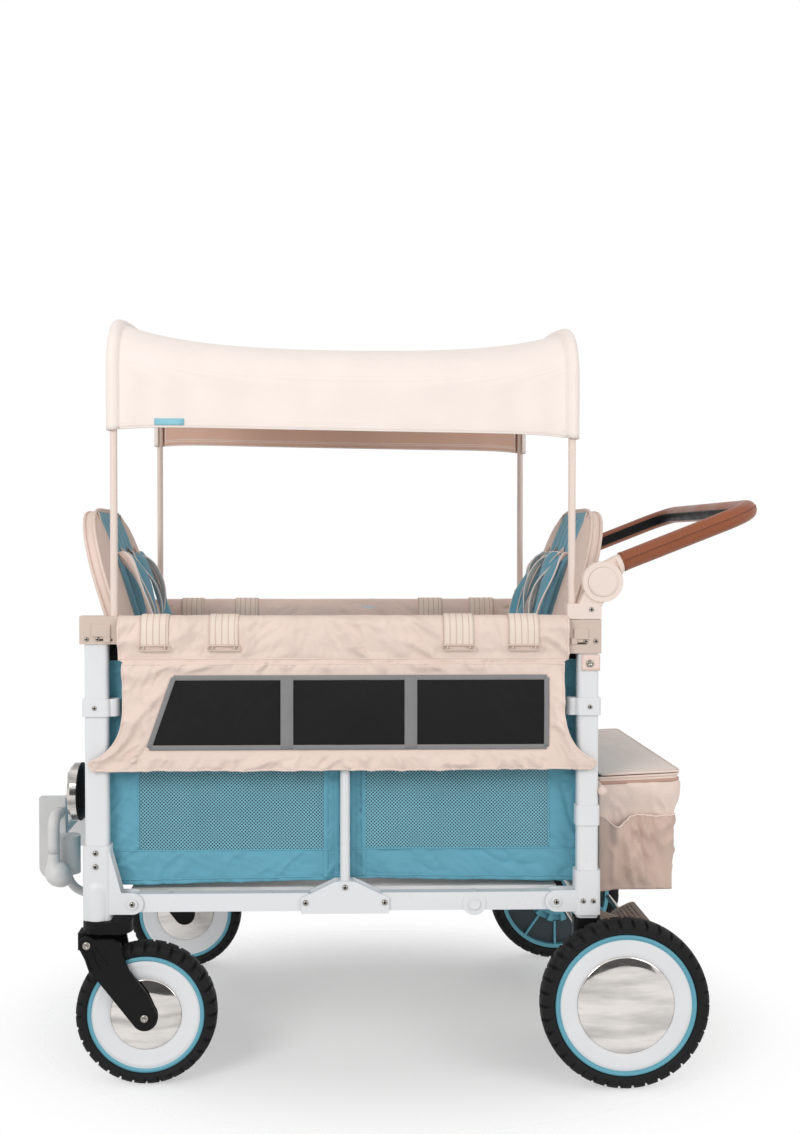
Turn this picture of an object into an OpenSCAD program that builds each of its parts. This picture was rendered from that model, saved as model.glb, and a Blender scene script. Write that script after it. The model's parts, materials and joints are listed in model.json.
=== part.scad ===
// Folding stroller wagon: X runs from the front (-X) to the push handle (+X), Y across, Z up.
// The origin is on the floor, in the middle of the whole wagon's box. Left is -Y.

/* [Frame] */
// Length of each folding side rail between its pivots
link_len = 305; // [290:1:320]
// Half the spacing of the two pivots on a centre bracket
centre_half = 70; // [64:1:76]
// Reach from the front leg axis to its fold pivot
front_reach = 63; // [60:1:68]
// Reach from the rear leg axis to its fold pivot
rear_reach = 57; // [54:1:60]
// Half the distance between the left and right leg axes
half_track = 300; // [290:1:315]
// Height of the lower fold pivots
lower_z = 321; // [317:1:328]
// Height of the upper fold pivots
upper_z = 800; // [785:1:815]
// Width of a front leg tube
front_leg_w = 42; // [38:1:46]
// Width of a rear leg tube
rear_leg_w = 38; // [34:1:42]
// Depth of the leg tubes across the wagon
leg_d = 26; // [22:1:28]
// Wall of the leg tubes
leg_wall = 2; // [1.5:0.1:3]
// Height of a lower side rail
rail_h = 32; // [28:1:36]
// Height of an upper side rail
top_rail_h = 26; // [22:1:30]
// Depth of the side rails across the wagon
rail_d = 20; // [16:1:22]
// Diameter of the round centre posts
post_d = 17.5; // [14:0.5:20]
// Diameter of the hinge pins
pin_d = 8; // [6:0.5:10]
// Diameter of the fold shafts that run across the wagon
shaft_d = 12; // [10:0.5:14]
// Thickness of the ears and plates that hold the rails
ear_t = 4; // [3:0.5:5]
// Diameter of the straight crossbars at the ends
bar_d = 16; // [12:1:18]

/* [Tub] */
// Distance from a fold pivot out to the inside of its end wall
end_reach = 70; // [67:1:72]
// Thickness of the fabric walls
panel_t = 3; // [2:0.5:4]
// Thickness of the floor boards
floor_t = 8; // [6:1:10]
// Gap between the two floor boards
floor_gap = 12; // [6:1:20]
// Height of the seat hinges
seat_z = 520; // [510:1:535]
// Depth of a seat from its hinge
seat_len = 240; // [210:1:250]
// Thickness of a seat cushion
seat_pad = 38; // [30:1:40]
// Height of the backrest hinges
back_z = 655; // [645:1:670]
// Length of a backrest from its hinge
back_len = 382; // [350:1:400]
// Thickness of a backrest
back_pad = 38; // [30:1:42]
// Distance of a backrest's side from the leg axis
back_inset = 60; // [55:1:100]
// Outward lean of the backrests
back_lean = 17.4; // [14:0.1:19]

/* [Wheels] */
// Diameter of the front tyres
front_wheel_d = 250; // [240:1:256]
// Width of the front tyres
front_wheel_w = 48; // [40:1:50]
// Diameter of the rear tyres
rear_wheel_d = 298; // [285:1:305]
// Width of the rear tyres
rear_wheel_w = 46; // [40:1:50]
// Distance of a front axle behind its swivel axis
caster_trail = 86; // [82:1:92]
// Distance of the rear axle behind the rear legs
axle_back = 59; // [54:1:62]
// Diameter of the front axles
front_axle_d = 10; // [8:1:12]
// Diameter of the rear axle
rear_axle_d = 12; // [10:1:14]
// Diameter of the caster swivel stems
stem_d = 12; // [10:1:14]
// Number of ratchet slots in each rear wheel
brake_slots = 12; // [12:12:12]

/* [Canopy] */
// Diameter of the canopy poles
pole_d = 13; // [10:1:14]
// Height of the cloth above the front bow
canopy_top = 1380; // [1340:1:1420]
// Drop of the rear bow below the front bow
bow_drop = 14; // [0:1:30]
// Radius of a bow's corners
bow_corner_r = 88; // [70:1:110]
// Sag of the cloth between the bows
canopy_sag = 50; // [20:1:60]
// Height of the hem below the top of the cloth
hem_drop = 224; // [200:1:250]
// Thickness of the canopy cloth
cloth_t = 2.5; // [1.5:0.5:4]

/* [Handles] */
// Height of the push handle hubs above the upper fold pivots
hub_rise = 89; // [85:1:100]
// Distance of the handle hubs behind the rear legs
hub_back = 24; // [20:1:28]
// Length of the push handle from hub to crossbar
handle_len = 310; // [280:1:320]
// Upward tilt of the push handle
handle_tilt = 21.5; // [10:0.5:30]
// Height of the handle's arms above its hubs
arm_lift = 17.5; // [12:0.5:19]
// Outside diameter of the leather grip
grip_d = 35; // [31:1:38]
// Diameter of the handle tube inside the grip
handle_d = 22; // [18:1:24]
// Bend radius of the handle corners
handle_bend = 60; // [45:1:80]
// Distance of the pull handle's hinge ahead of the front legs
pull_ahead = 100; // [96:1:110]
// Height of the pull handle's hinge
pull_z = 345; // [340:1:352]
// Height of the pull handle above its hinge
pull_rise = 128; // [110:1:135]

/* [Basket] */
// Length of the rear basket
basket_len = 145; // [120:1:150]
// Distance of the basket's side from the leg axis
basket_inset = 50; // [48:1:80]
// Height of the basket's rim
basket_top = 531; // [515:1:545]
// Depth of the basket
basket_depth = 212; // [180:1:220]
// Thickness of the basket's walls
basket_wall = 4; // [3:0.5:6]

/* [Hidden] */
$fn = 48;
// Radial running clearance of pins in their holes
run = 0.08;
// Clearance of pieces that sit on each other in one body
seat_gap = 0.2;
// Clearance between the side faces of a rail and its ears
side_gap = 1;
// Clearance of the open pivots at the middle of the upper rails
open_gap = 0.3;

// Places along the wagon, measured from the centre posts
pivot_x = centre_half + link_len;
front_leg_x = -(pivot_x + front_reach);
rear_leg_x = pivot_x + rear_reach;
wall_x = pivot_x + end_reach;
hub_x = rear_leg_x + hub_back;
hub_z = upper_z + hub_rise;
pull_x = front_leg_x - pull_ahead;
slab_front = 41;
x_low = pull_x - slab_front;
x_high = hub_x + handle_len * cos(handle_tilt) - arm_lift * sin(handle_tilt) + grip_d / 2;
mid_x = -(x_low + x_high) / 2;

// Places across the wagon, measured from its middle plane
leg_in = half_track - leg_d / 2;
leg_out = half_track + leg_d / 2;
rail_in = half_track - rail_d / 2;
rail_out = half_track + rail_d / 2;
ear_in = rail_in - side_gap - ear_t;
ear_out = rail_out + side_gap;
sleeve_d = leg_d + 10;
sleeve_in = half_track - sleeve_d / 2;
sleeve_out = half_track + sleeve_d / 2;
panel_step = 3;
front_panel_y = leg_in - 7 - panel_t;
rear_panel_y = front_panel_y - panel_step - panel_t;
hanger_t = 4;
hanger_y = rear_panel_y - panel_step - hanger_t;
inner_half = hanger_y - 2;
bracket_d = leg_d + 6;
bracket_in = half_track - bracket_d / 2;
bracket_out = half_track + bracket_d / 2;

// Canopy poles stand beside the legs, inside the tub's length
pole_wall = 3;
front_pole_x = front_leg_x + front_leg_w / 2 + pole_wall + pole_d / 2;
rear_pole_x = rear_leg_x - rear_leg_w / 2 - pole_wall - pole_d / 2;
socket_edge = pole_d / 2 + run + 3.5;

// Sleeves and brackets on the legs
front_sleeve_w = front_leg_w + 8;
rear_sleeve_w = rear_leg_w + 8;
foot_base_z = lower_z - 29;
front_foot_top = lower_z + 103;
rear_foot_base = lower_z - 25;
rear_foot_top = lower_z + 54;
bracket_low = upper_z - 20;
bracket_high = upper_z + 29;
rear_bracket_low = upper_z - 38;
rear_bracket_high = upper_z + 22;
front_leg_bottom = foot_base_z + 48;
rear_leg_bottom = lower_z - 59;
leg_top = bracket_high - 3;
clamp_drop = 148;
clamp_h = 31;
clamp_low = upper_z - clamp_drop;
clamp_high = clamp_low + clamp_h;
pole_bottom = bracket_low + 2;
ear_r = rail_h / 2 + 3;
top_ear_r = top_rail_h / 2 + 3;

// Backrest frame of reference: along its length and out of its inner face
back_x = pivot_x - 10;
back_half = half_track - back_inset;
back_face = 15;
back_start = 16;
back_corner_r = 120;
back_edge = 0.5;
channel_every = 4;
channel_depth = 3;

// Crossbars at the rim lie against the leaning backrests
rim_bar_z = upper_z + 5;
rim_rise = rim_bar_z - back_z;
rim_touch = (back_pad - back_face + 0.5 + bar_d / 2) / cos(back_lean);
rim_bar_x = back_x + rim_rise * tan(back_lean) + rim_touch;
wall_top = rim_bar_z - bar_d / 2 - 3;
wall_base = lower_z + 26;
low_bar_z = lower_z - 13;

// Seats
seat_x = pivot_x + 25;
seat_board_t = 10;
seat_clear = 14;
seat_half = inner_half - 4;

// Caster
caster_x = front_leg_x;
front_axle_x = caster_x + caster_trail;
front_axle_z = front_wheel_d / 2;
head_top = foot_base_z - 0.3;
sus_x = caster_x - 14;
sus_z = foot_base_z - 38;
head_half = 17;
fork_in = front_wheel_w / 2 + 3;
fork_t = 8;

// Rear axle and brake
rear_axle_x = rear_leg_x + axle_back;
rear_axle_z = rear_wheel_d / 2;
rear_wheel_y = sleeve_out + rear_wheel_w / 2;
housing_in = leg_in;
housing_t = 14;
brake_pin_d = 8;
brake_reach = 47;
brake_free_r = 70;
ratchet_r = 62;
ratchet_root = 46;
slot_w = 19;
brake_shaft_d = 10;
brake_x = rear_axle_x - brake_reach;
brake_z = rear_axle_z + brake_free_r + 8;
lever_t = 5;
lever_y = housing_in + housing_t + 2;
slot_phase = 93;
foot_bar_d = 11;
foot_bar_half = 190;
foot_bar_x = brake_x + 139;
foot_bar_z = brake_z - 46;

// Canopy bows: straight pole, corner arc and a flat crown arc
bow_half = half_track;
crown_tilt = 8;
cloth_gap = 3.8;
bow_in_y = bow_half - bow_corner_r;
crown_end_y = bow_in_y + bow_corner_r * sin(crown_tilt);
crown_r = crown_end_y / sin(crown_tilt);
bow_rise = bow_corner_r * cos(crown_tilt) + crown_r * (1 - cos(crown_tilt));
bow_top = canopy_top - cloth_t - cloth_gap - pole_d / 2;
bow_corner_z = bow_top - bow_rise;
cloth_end = 9;

// Push handle
arm_y = half_track - 12;
ring_d = 60;
ring_t = 22;
hub_r = 36;
hub_face = half_track;
hub_t = 18;
hub_pin_d = 14;
button_d = 52;
button_t = 8;
button_out = 3;
stub_d = 28;
stub_len = 49;

// Pull handle
socket_x = pull_x + 19;
socket_inset = 135;
socket_y = half_track - socket_inset;
socket_d = 46;
socket_low = pull_z - 7;
socket_high = pull_z + 63;
slab_t = 24;
slab_gap = 2;
slab_y = socket_y - socket_d / 2 - slab_gap - slab_t;
slab_back = 9;
rod_d = 13;
rod_bend = 20;
bulb_d = 44;
bulb_gap = 4;
rod_y = socket_y + socket_d / 2 + bulb_gap + bulb_d / 2;
tube_d = 16;
tube_bend = 38;
tube_z = socket_low - tube_bend;
pull_pin_d = 10;

// Basket
basket_half = half_track - basket_inset;
basket_bar_z = basket_top - 16;
basket_bar_x = rear_leg_x + rear_leg_w / 2 + bar_d / 2 + 0.2;
loop_t = 2.6;
loop_w = 30;
loop_y = basket_half * 0.6;
basket_x = basket_bar_x + bar_d / 2 + 0.3 + loop_t - 1;

// Side flaps
flap_t = 3;
flap_len = min(-front_pole_x, rear_pole_x) - socket_edge - 3;
flap_ear = 52;
flap_drop = 238;
flap_ear_drop = 150;
flap_hem_z = upper_z - flap_drop;
flap_ear_z = upper_z - flap_ear_drop;
flap_ear_run = 80;
flap_in = ear_out + ear_t + 0.3;
flap_roll_in = ear_in - 0.6;
flap_top = upper_z + 28.5;
flap_wave = 4;

// Lamps
lamp_inset = 100;
lamp_y = half_track - lamp_inset;
lamp_rise = 151;
lamp_z = wall_base + lamp_rise;
lamp_r = 53;
lamp_len = 56;

// Colours
white = [0.93, 0.93, 0.93];
beige = [0.88, 0.82, 0.77];
cream = [0.95, 0.89, 0.84];
blue = [0.36, 0.62, 0.71];
black = [0.12, 0.12, 0.13];
steel = [0.72, 0.73, 0.75];
chrome = [0.82, 0.83, 0.85];
leather = [0.53, 0.28, 0.16];
taupe = [0.45, 0.40, 0.37];

// Shared placing modules

module placed() {
  translate([mid_x, 0, 0]) children();
}

// The children are drawn on the +Y side and repeated on the -Y side
module both_sides() {
  children();
  mirror([0, 1, 0]) children();
}

module left_side() {
  mirror([0, 1, 0]) children();
}

// The children are drawn at the rear end and turned to the front end
module front_end() {
  mirror([1, 0, 0]) children();
}

// Extrudes a shape drawn in X and Z from y0 over a thickness
module plate(y0, thick) {
  translate([0, y0 + thick, 0]) rotate([90, 0, 0]) linear_extrude(thick) children();
}

module bar_y(x, z, d, y0, y1) {
  translate([x, y1, z]) rotate([90, 0, 0]) cylinder(d = d, h = y1 - y0);
}

// Turns a profile of radius and outward distance about a wheel's axis on the +Y side
module wheel_turn(x, y, z) {
  translate([x, y, z]) rotate([-90, 0, 0]) rotate_extrude($fn = 96) children();
}

module round_box(w, d, r) {
  square([w - 2 * r, d], center = true);
  square([w, d - 2 * r], center = true);
  for (sx = [-1, 1], sy = [-1, 1])
    translate([sx * (w / 2 - r), sy * (d / 2 - r)]) circle(r);
}

// A flat link with round ends between two points
module strip(a, b, w) {
  run_x = b[0] - a[0];
  run_y = b[1] - a[1];
  translate(a) circle(d = w);
  translate(b) circle(d = w);
  translate(a) rotate(atan2(run_y, run_x)) translate([0, -w / 2])
    square([norm([run_x, run_y]), w]);
}

module screw_head(x, y, z, d) {
  bar_y(x, z, d, y, y + d / 4);
  bar_y(x, z, d * 0.7, y + d / 4, y + d * 0.35);
}

// Closed solid between two matching grids of points; face_a lies on the u x v side
module closed_sheet(face_a, face_b, nu, nv) {
  count = (nu + 1) * (nv + 1);
  faces = concat(
    [for (j = [0:nv - 1], i = [0:nu - 1], f = [
      [at(i, j, nu), at(i, j + 1, nu), at(i + 1, j, nu)],
      [at(i + 1, j, nu), at(i, j + 1, nu), at(i + 1, j + 1, nu)],
      [count + at(i, j, nu), count + at(i + 1, j, nu), count + at(i, j + 1, nu)],
      [count + at(i + 1, j, nu), count + at(i + 1, j + 1, nu), count + at(i, j + 1, nu)]
    ]) f],
    [for (i = [0:nu - 1], f = concat(
      edge_pair(at(i, 0, nu), at(i + 1, 0, nu), count),
      edge_pair(at(i + 1, nv, nu), at(i, nv, nu), count))) f],
    [for (j = [0:nv - 1], f = concat(
      edge_pair(at(0, j + 1, nu), at(0, j, nu), count),
      edge_pair(at(nu, j, nu), at(nu, j + 1, nu), count))) f]);
  polyhedron(points = concat(face_a, face_b), faces = faces);
}

function at(i, j, nu) = j * (nu + 1) + i;
function edge_pair(p, q, count) = [[p, q, q + count], [p, q + count, p + count]];
function mix(a, b, t) = a + (b - a) * t;
function ease(t) = let (c = min(1, max(0, t))) c * c * (3 - 2 * c);
function cosh(v) = (exp(v) + exp(-v)) / 2;

// Legs

module leg_tube(x, w, low) {
  translate([x, half_track, low]) linear_extrude(leg_top - low) difference() {
    round_box(w, leg_d, 8);
    round_box(w - 2 * leg_wall, leg_d - 2 * leg_wall, 6);
  }
}

module leg_hole(x, w) {
  translate([x, half_track]) round_box(w + 2 * seat_gap, leg_d + 2 * seat_gap, 8 + seat_gap);
}

// Band round a leg with a socket beside it for a lowered canopy pole
module pole_clamp(x, w, pole_x) {
  translate([0, 0, clamp_low]) linear_extrude(clamp_high - clamp_low) difference() {
    union() {
      translate([x, half_track]) round_box(w + 8, leg_d + 8, 9);
      strip([x, half_track], [pole_x, half_track], 2 * socket_edge);
    }
    leg_hole(x, w);
    translate([pole_x, half_track]) circle(d = pole_d + 2 * run);
  }
}

module front_legs() {
  color(white) placed() both_sides() {
    leg_tube(front_leg_x, front_leg_w, front_leg_bottom);
    pole_clamp(front_leg_x, front_leg_w, front_pole_x);
  }
}

module rear_legs() {
  collar_rise = 134;
  collar_h = 36;
  collar_low = lower_z + collar_rise;
  color(white) placed() both_sides() {
    leg_tube(rear_leg_x, rear_leg_w, rear_leg_bottom);
    pole_clamp(rear_leg_x, rear_leg_w, rear_pole_x);
    translate([0, 0, collar_low]) linear_extrude(collar_h) difference() {
      translate([rear_leg_x, half_track]) round_box(rear_leg_w + 5, leg_d + 5, 9);
      leg_hole(rear_leg_x, rear_leg_w);
    }
  }
}

// Corner brackets with the pivots of the upper rails

// Block round the top of a leg, open or closed on top, with the canopy pole's bore
module bracket_block(x0, x1, low, high, leg_x, leg_w, pole_x, roof) {
  difference() {
    translate([x0, bracket_in, low]) cube([x1 - x0, bracket_d, high - low]);
    translate([0, 0, low - 1]) linear_extrude(high - low + 1 - roof + (roof == 0 ? 1 : 0))
      leg_hole(leg_x, leg_w);
    translate([pole_x, half_track, low - 1]) cylinder(d = pole_d + 2 * run, h = high - low + 2);
  }
}

// Two ears from a block to a pivot
module ears(block_x, px, pz, r) {
  for (y = [ear_in, ear_out]) plate(y, ear_t) {
    translate([px, pz]) circle(r);
    translate([min(block_x, px), pz - r]) square([abs(px - block_x), 2 * r]);
  }
  bar_y(px, pz, pin_d, ear_in + ear_t / 2, ear_out + ear_t / 2);
}

module front_corner_brackets() {
  block_in = front_pole_x + socket_edge;
  color(beige) placed() both_sides() {
    bracket_block(front_leg_x - front_leg_w / 2 - 7, block_in, bracket_low, bracket_high,
      front_leg_x, front_leg_w, front_pole_x, 2);
    ears(block_in - 1, -pivot_x, upper_z, top_ear_r);
  }
}

module rear_corner_brackets() {
  block_in = rear_pole_x - socket_edge;
  color(beige) placed() both_sides() {
    bracket_block(block_in, rear_leg_x + rear_leg_w / 2 + 3, rear_bracket_low,
      rear_bracket_high, rear_leg_x, rear_leg_w, rear_pole_x, 0);
    ears(block_in + 1, pivot_x, upper_z, top_ear_r);
  }
}

// Feet with the pivots of the lower rails

// Two ears with a running bore for the fold shaft and a gusset that flares down from a height
module foot_ears(leg_x, px, top, flare) {
  toward = sign(px - leg_x);
  side_x = leg_x + toward * front_leg_w / 2;
  for (y = [ear_in, ear_out]) plate(y, ear_t) difference() {
    union() {
      translate([px, lower_z]) circle(ear_r);
      polygon([[leg_x, lower_z - ear_r], [px, lower_z - ear_r], [px, lower_z + ear_r],
        [side_x + toward * flare, lower_z + ear_r], [side_x, top], [leg_x, top]]);
    }
    translate([px, lower_z]) circle(d = shaft_d + 2 * run);
  }
}

module front_feet() {
  stem_len = 38;
  foot_flare = 22;
  color(white) placed() both_sides() {
    difference() {
      union() {
        translate([front_leg_x, half_track, foot_base_z])
          linear_extrude(front_foot_top - foot_base_z) round_box(front_sleeve_w, sleeve_d, 10);
        foot_ears(front_leg_x, -pivot_x, front_foot_top - 3, foot_flare);
      }
      translate([0, 0, front_leg_bottom - seat_gap])
        linear_extrude(front_foot_top - front_leg_bottom + 1) leg_hole(front_leg_x, front_leg_w);
      translate([caster_x, half_track, foot_base_z - 1])
        cylinder(d = stem_d + 2 * run, h = stem_len + 1);
    }
  }
}

module rear_feet() {
  color(white) placed() both_sides() {
    difference() {
      union() {
        translate([rear_leg_x, half_track, rear_foot_base])
          linear_extrude(rear_foot_top - rear_foot_base) round_box(rear_sleeve_w, sleeve_d, 10);
        foot_ears(rear_leg_x, pivot_x, lower_z + ear_r + 2, 0);
      }
      translate([0, 0, rear_foot_base - 1]) linear_extrude(rear_foot_top - rear_foot_base + 2)
        leg_hole(rear_leg_x, rear_leg_w);
    }
  }
}

// Crossbars

module front_crossbars() {
  color(white) placed() {
    bar_y(-rim_bar_x, rim_bar_z, bar_d, -bracket_in, bracket_in);
    bar_y(front_leg_x, low_bar_z, bar_d, -sleeve_in, sleeve_in);
  }
}

module rear_crossbars() {
  color(white) placed() {
    bar_y(rim_bar_x, rim_bar_z, bar_d, -bracket_in, bracket_in);
    bar_y(rear_leg_x, low_bar_z, bar_d, -sleeve_in, sleeve_in);
    bar_y(basket_bar_x, basket_bar_z, bar_d, -leg_out, leg_out);
  }
}

// Fixed brackets of the pull handle: bent tube, socket and hinge pin on each side

module pull_brackets() {
  reach = front_leg_x - bar_d / 2 - seat_gap - (socket_x + tube_bend);
  pin_end = slab_y - 2;
  color(white) placed() both_sides() translate([0, socket_y, 0]) {
    translate([socket_x, 0, socket_low]) cylinder(d = socket_d, h = socket_high - socket_low);
    translate([socket_x + tube_bend, 0, socket_low]) rotate([90, 0, 0]) rotate([0, 0, 180])
      rotate_extrude(angle = 90) translate([tube_bend, 0]) circle(d = tube_d);
    translate([socket_x + tube_bend, 0, tube_z]) rotate([0, 90, 0]) cylinder(d = tube_d, h = reach - 4);
    difference() {
      translate([front_leg_x - reach * 0.4, 0, (tube_z + low_bar_z) / 2])
        cube([reach * 0.8, tube_d, abs(low_bar_z - tube_z) + bar_d + 8], center = true);
      bar_y(front_leg_x, low_bar_z, bar_d + 2 * seat_gap, -tube_d, tube_d);
      translate([front_leg_x + bar_d / 2 - 2, -tube_d, tube_z - socket_d])
        cube([2 * reach, 2 * tube_d, 4 * socket_d]);
    }
    bar_y(pull_x, pull_z, pull_pin_d, pin_end - socket_y, -slab_t / 2);
  }
}

// Seat hangers: a plate on each side with the hinge pins of the seat and the backrest

module hanger() {
  foot_x = wall_x - 21;
  foot_w = 18;
  arm_w = 28;
  pin_len = 14;
  plate(hanger_y, hanger_t) {
    strip([seat_x, seat_z], [foot_x + foot_w - arm_w / 2, seat_z], arm_w);
    strip([back_x, back_z], [foot_x + foot_w - arm_w / 2, back_z], arm_w);
    translate([foot_x, seat_z]) square([foot_w, back_z - seat_z]);
  }
  for (z = [seat_z, seat_z + 70])
    translate([foot_x, hanger_y + hanger_t / 2, z - arm_w / 2])
      cube([foot_w, leg_in - seat_gap - hanger_y - hanger_t / 2, arm_w]);
  for (p = [[seat_x, seat_z], [back_x, back_z]])
    bar_y(p[0], p[1], pin_d, hanger_y - pin_len, hanger_y + hanger_t / 2);
}

module front_seat_hangers() {
  color(white) placed() both_sides() front_end() hanger();
}

module rear_seat_hangers() {
  color(white) placed() both_sides() hanger();
}

// Tub walls

module end_wall() {
  half = sleeve_in - seat_gap;
  translate([wall_x, -half, wall_base]) cube([panel_t, 2 * half, wall_top - wall_base]);
}

module front_wall() {
  color(blue) placed() front_end() end_wall();
}

module rear_wall() {
  color(blue) placed() end_wall();
}

// Side panel drawn at the rear end, with a batten that sits on the leg between two heights
module side_panel(edge_x, y, low, high) {
  batten_w = 12;
  translate([4, y, wall_base]) cube([edge_x - 4, panel_t, wall_top - wall_base]);
  translate([edge_x, y, low]) cube([batten_w, leg_in - 0.3 - y, high - low]);
  translate([edge_x - 1, y, low]) cube([2, panel_t, high - low]);
}

module front_side_panels() {
  edge_x = -front_leg_x - front_leg_w / 2 - 6;
  color(blue) placed() both_sides() front_end()
    side_panel(edge_x, front_panel_y, front_foot_top + 10, clamp_low - 10);
}

module rear_side_panels() {
  batten_rise = 179;
  edge_x = rear_leg_x - rear_leg_w / 2 - 2;
  color(blue) placed() both_sides()
    side_panel(edge_x, rear_panel_y, lower_z + batten_rise, clamp_low - 10);
}

// Round lamps on the front wall

module lamp_profile() {
  polygon([[lamp_r - 14, 0], [lamp_r - 10, 0], [lamp_r - 10, lamp_len - 26], [lamp_r, lamp_len - 20],
    [lamp_r, lamp_len - 6], [lamp_r - 6, lamp_len], [lamp_r - 14, lamp_len - 5]]);
}

module at_lamps() {
  placed() both_sides() translate([-wall_x - panel_t - seat_gap, lamp_y, lamp_z]) rotate([0, -90, 0])
    children();
}

module lamp_bezels() {
  color(chrome) at_lamps() rotate_extrude($fn = 64) lamp_profile();
}

module lamp_lenses() {
  lens_r = lamp_r - 14 - seat_gap;
  dome = 8;
  dome_r = (lens_r * lens_r + dome * dome) / (2 * dome);
  color(steel) at_lamps() intersection() {
    cylinder(r = lens_r, h = lamp_len);
    translate([0, 0, lamp_len - 6 - dome_r]) sphere(dome_r, $fn = 96);
    translate([-lamp_r, -lamp_r, lamp_len - 24]) cube([2 * lamp_r, 2 * lamp_r, 24]);
  }
}

// Visible screws

module front_fasteners() {
  color(steel) placed() both_sides() {
    for (z = [front_foot_top - 12, front_foot_top - 36])
      screw_head(front_leg_x - 1, sleeve_out, z, 10);
    screw_head(front_leg_x, sleeve_out, foot_base_z + 6, 7);
    for (x = [front_leg_x - 15, front_leg_x + 4])
      screw_head(x, bracket_out, bracket_low + 9, 8);
    screw_head(front_leg_x - 2, leg_out + 4, (clamp_low + clamp_high) / 2, 8);
  }
}

module rear_fasteners() {
  foot_rise = 26;
  bracket_rise = 22;
  color(steel) placed() both_sides() {
    for (x = [rear_leg_x - 9, rear_leg_x + 9])
      screw_head(x, sleeve_out, rear_foot_base + foot_rise, 9);
    for (x = [rear_leg_x - 6, rear_leg_x + 12])
      screw_head(x, bracket_out, rear_bracket_low + bracket_rise, 8);
    screw_head(rear_leg_x + 4, bracket_out, rear_bracket_high + 18, 8);
    screw_head(rear_leg_x + 2, leg_out + 4, (clamp_low + clamp_high) / 2, 8);
  }
}

module middle_fasteners() {
  head_d = 10;
  top_rise = 27;
  color(steel) placed() both_sides() {
    for (x = [-centre_half, centre_half]) screw_head(x, ear_out + ear_t, lower_z, head_d);
    screw_head(0, ear_out + ear_t, lower_z + top_rise, head_d);
  }
}

// Folding side rails

module rail(x0, x1, z, h) {
  plate(rail_in, rail_d) {
    translate([x0, z]) circle(d = h);
    translate([x1, z]) circle(d = h);
    translate([x0, z - h / 2]) square([x1 - x0, h]);
  }
}

// Lower rail of the rear end, with the half shaft that it turns on
module lower_rail() {
  head_d = 18;
  difference() {
    rail(centre_half, pivot_x, lower_z, rail_h);
    bar_y(centre_half, lower_z, pin_d + 2 * run, rail_in - 1, rail_out + 1);
  }
  bar_y(pivot_x, lower_z, head_d, ear_out + ear_t + 0.3, ear_out + ear_t + 4);
}

module fold_shaft() {
  bar_y(pivot_x, lower_z, shaft_d, -ear_out - ear_t - 2, ear_out + ear_t + 2);
}

module front_lower_rails() {
  color(white) placed() front_end() {
    both_sides() lower_rail();
    fold_shaft();
  }
}

module rear_lower_rails() {
  knuckle_reach = 160;
  knuckle_x = centre_half + knuckle_reach;
  knuckle_d = 42;
  color(white) placed() {
    both_sides() {
      lower_rail();
      bar_y(knuckle_x, lower_z - 4, knuckle_d, rail_in, rail_out + 2);
      bar_y(knuckle_x, lower_z - 4, knuckle_d / 2, rail_out, rail_out + 4);
    }
    fold_shaft();
  }
}

// Floor board of the rear end, held by a barrel on the fold shaft
module floor_board() {
  barrel_d = shaft_d + 8;
  top = barrel_d / 2 + 4;
  difference() {
    union() {
      bar_y(pivot_x, lower_z, barrel_d, -inner_half, inner_half);
      translate([floor_gap / 2, -inner_half, lower_z + top - floor_t])
        cube([pivot_x + barrel_d / 2 - floor_gap / 2, 2 * inner_half, floor_t]);
    }
    bar_y(pivot_x, lower_z, shaft_d + 2 * seat_gap, -inner_half - 1, inner_half + 1);
  }
}

module front_floor_board() {
  color(taupe) placed() front_end() floor_board();
}

module rear_floor_board() {
  color(taupe) placed() floor_board();
}

module top_rail() {
  difference() {
    rail(centre_half, pivot_x, upper_z, top_rail_h);
    bar_y(centre_half, upper_z, pin_d + 2 * open_gap, rail_in - 1, rail_out + 1);
    bar_y(pivot_x, upper_z, pin_d + 2 * run, rail_in - 1, rail_out + 1);
  }
}

module front_top_rails() {
  color(white) placed() both_sides() front_end() top_rail();
}

module rear_top_rails() {
  color(white) placed() both_sides() top_rail();
}

// Centre posts and their brackets

module middle_posts() {
  low = lower_z + 20;
  high = upper_z + 8;
  color(white) placed() both_sides() translate([0, half_track, low])
    cylinder(d = post_d, h = high - low);
}

// Pair of plates with two pins and a collar round the post
module center_bracket(z, collar_low, collar_high) {
  collar_d = post_d + 9;
  for (y = [ear_in, ear_out]) plate(y, ear_t) children();
  for (x = [-centre_half, centre_half])
    bar_y(x, z, pin_d, ear_in + ear_t / 2, ear_out + ear_t / 2);
  difference() {
    translate([-collar_d / 2, ear_in + ear_t / 2, collar_low])
      cube([collar_d, ear_out - ear_in, collar_high - collar_low]);
    translate([0, half_track, lower_z + 20 - seat_gap])
      cylinder(d = post_d + 2 * seat_gap, h = upper_z - lower_z - 12 + 2 * seat_gap);
  }
}

module center_brackets() {
  plate_end = centre_half + 8;
  shoulder = 34;
  base = lower_z - 20;
  roof = lower_z + 37;
  color(white) placed() both_sides() {
    center_bracket(lower_z, lower_z + 12, roof)
      polygon([[-plate_end, base], [plate_end, base], [plate_end, lower_z + 8],
        [shoulder / 2, roof], [-shoulder / 2, roof], [-plate_end, lower_z + 8]]);
    center_bracket(upper_z, upper_z - 16, upper_z + 16)
      strip([-centre_half, upper_z], [centre_half, upper_z], 2 * top_ear_r);
  }
}

// Cloth flaps rolled over the upper rails and hanging outside the frame

function flap_reach(z) = flap_len + flap_ear * ease((flap_ear_z - z) / flap_ear_run);
function flap_fold(x, z) =
  flap_wave * ease((flap_ear_z - z) / 120) * (0.5 + 0.5 * sin(x * 1.3 + 40 * sin(x * 0.4)));
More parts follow.
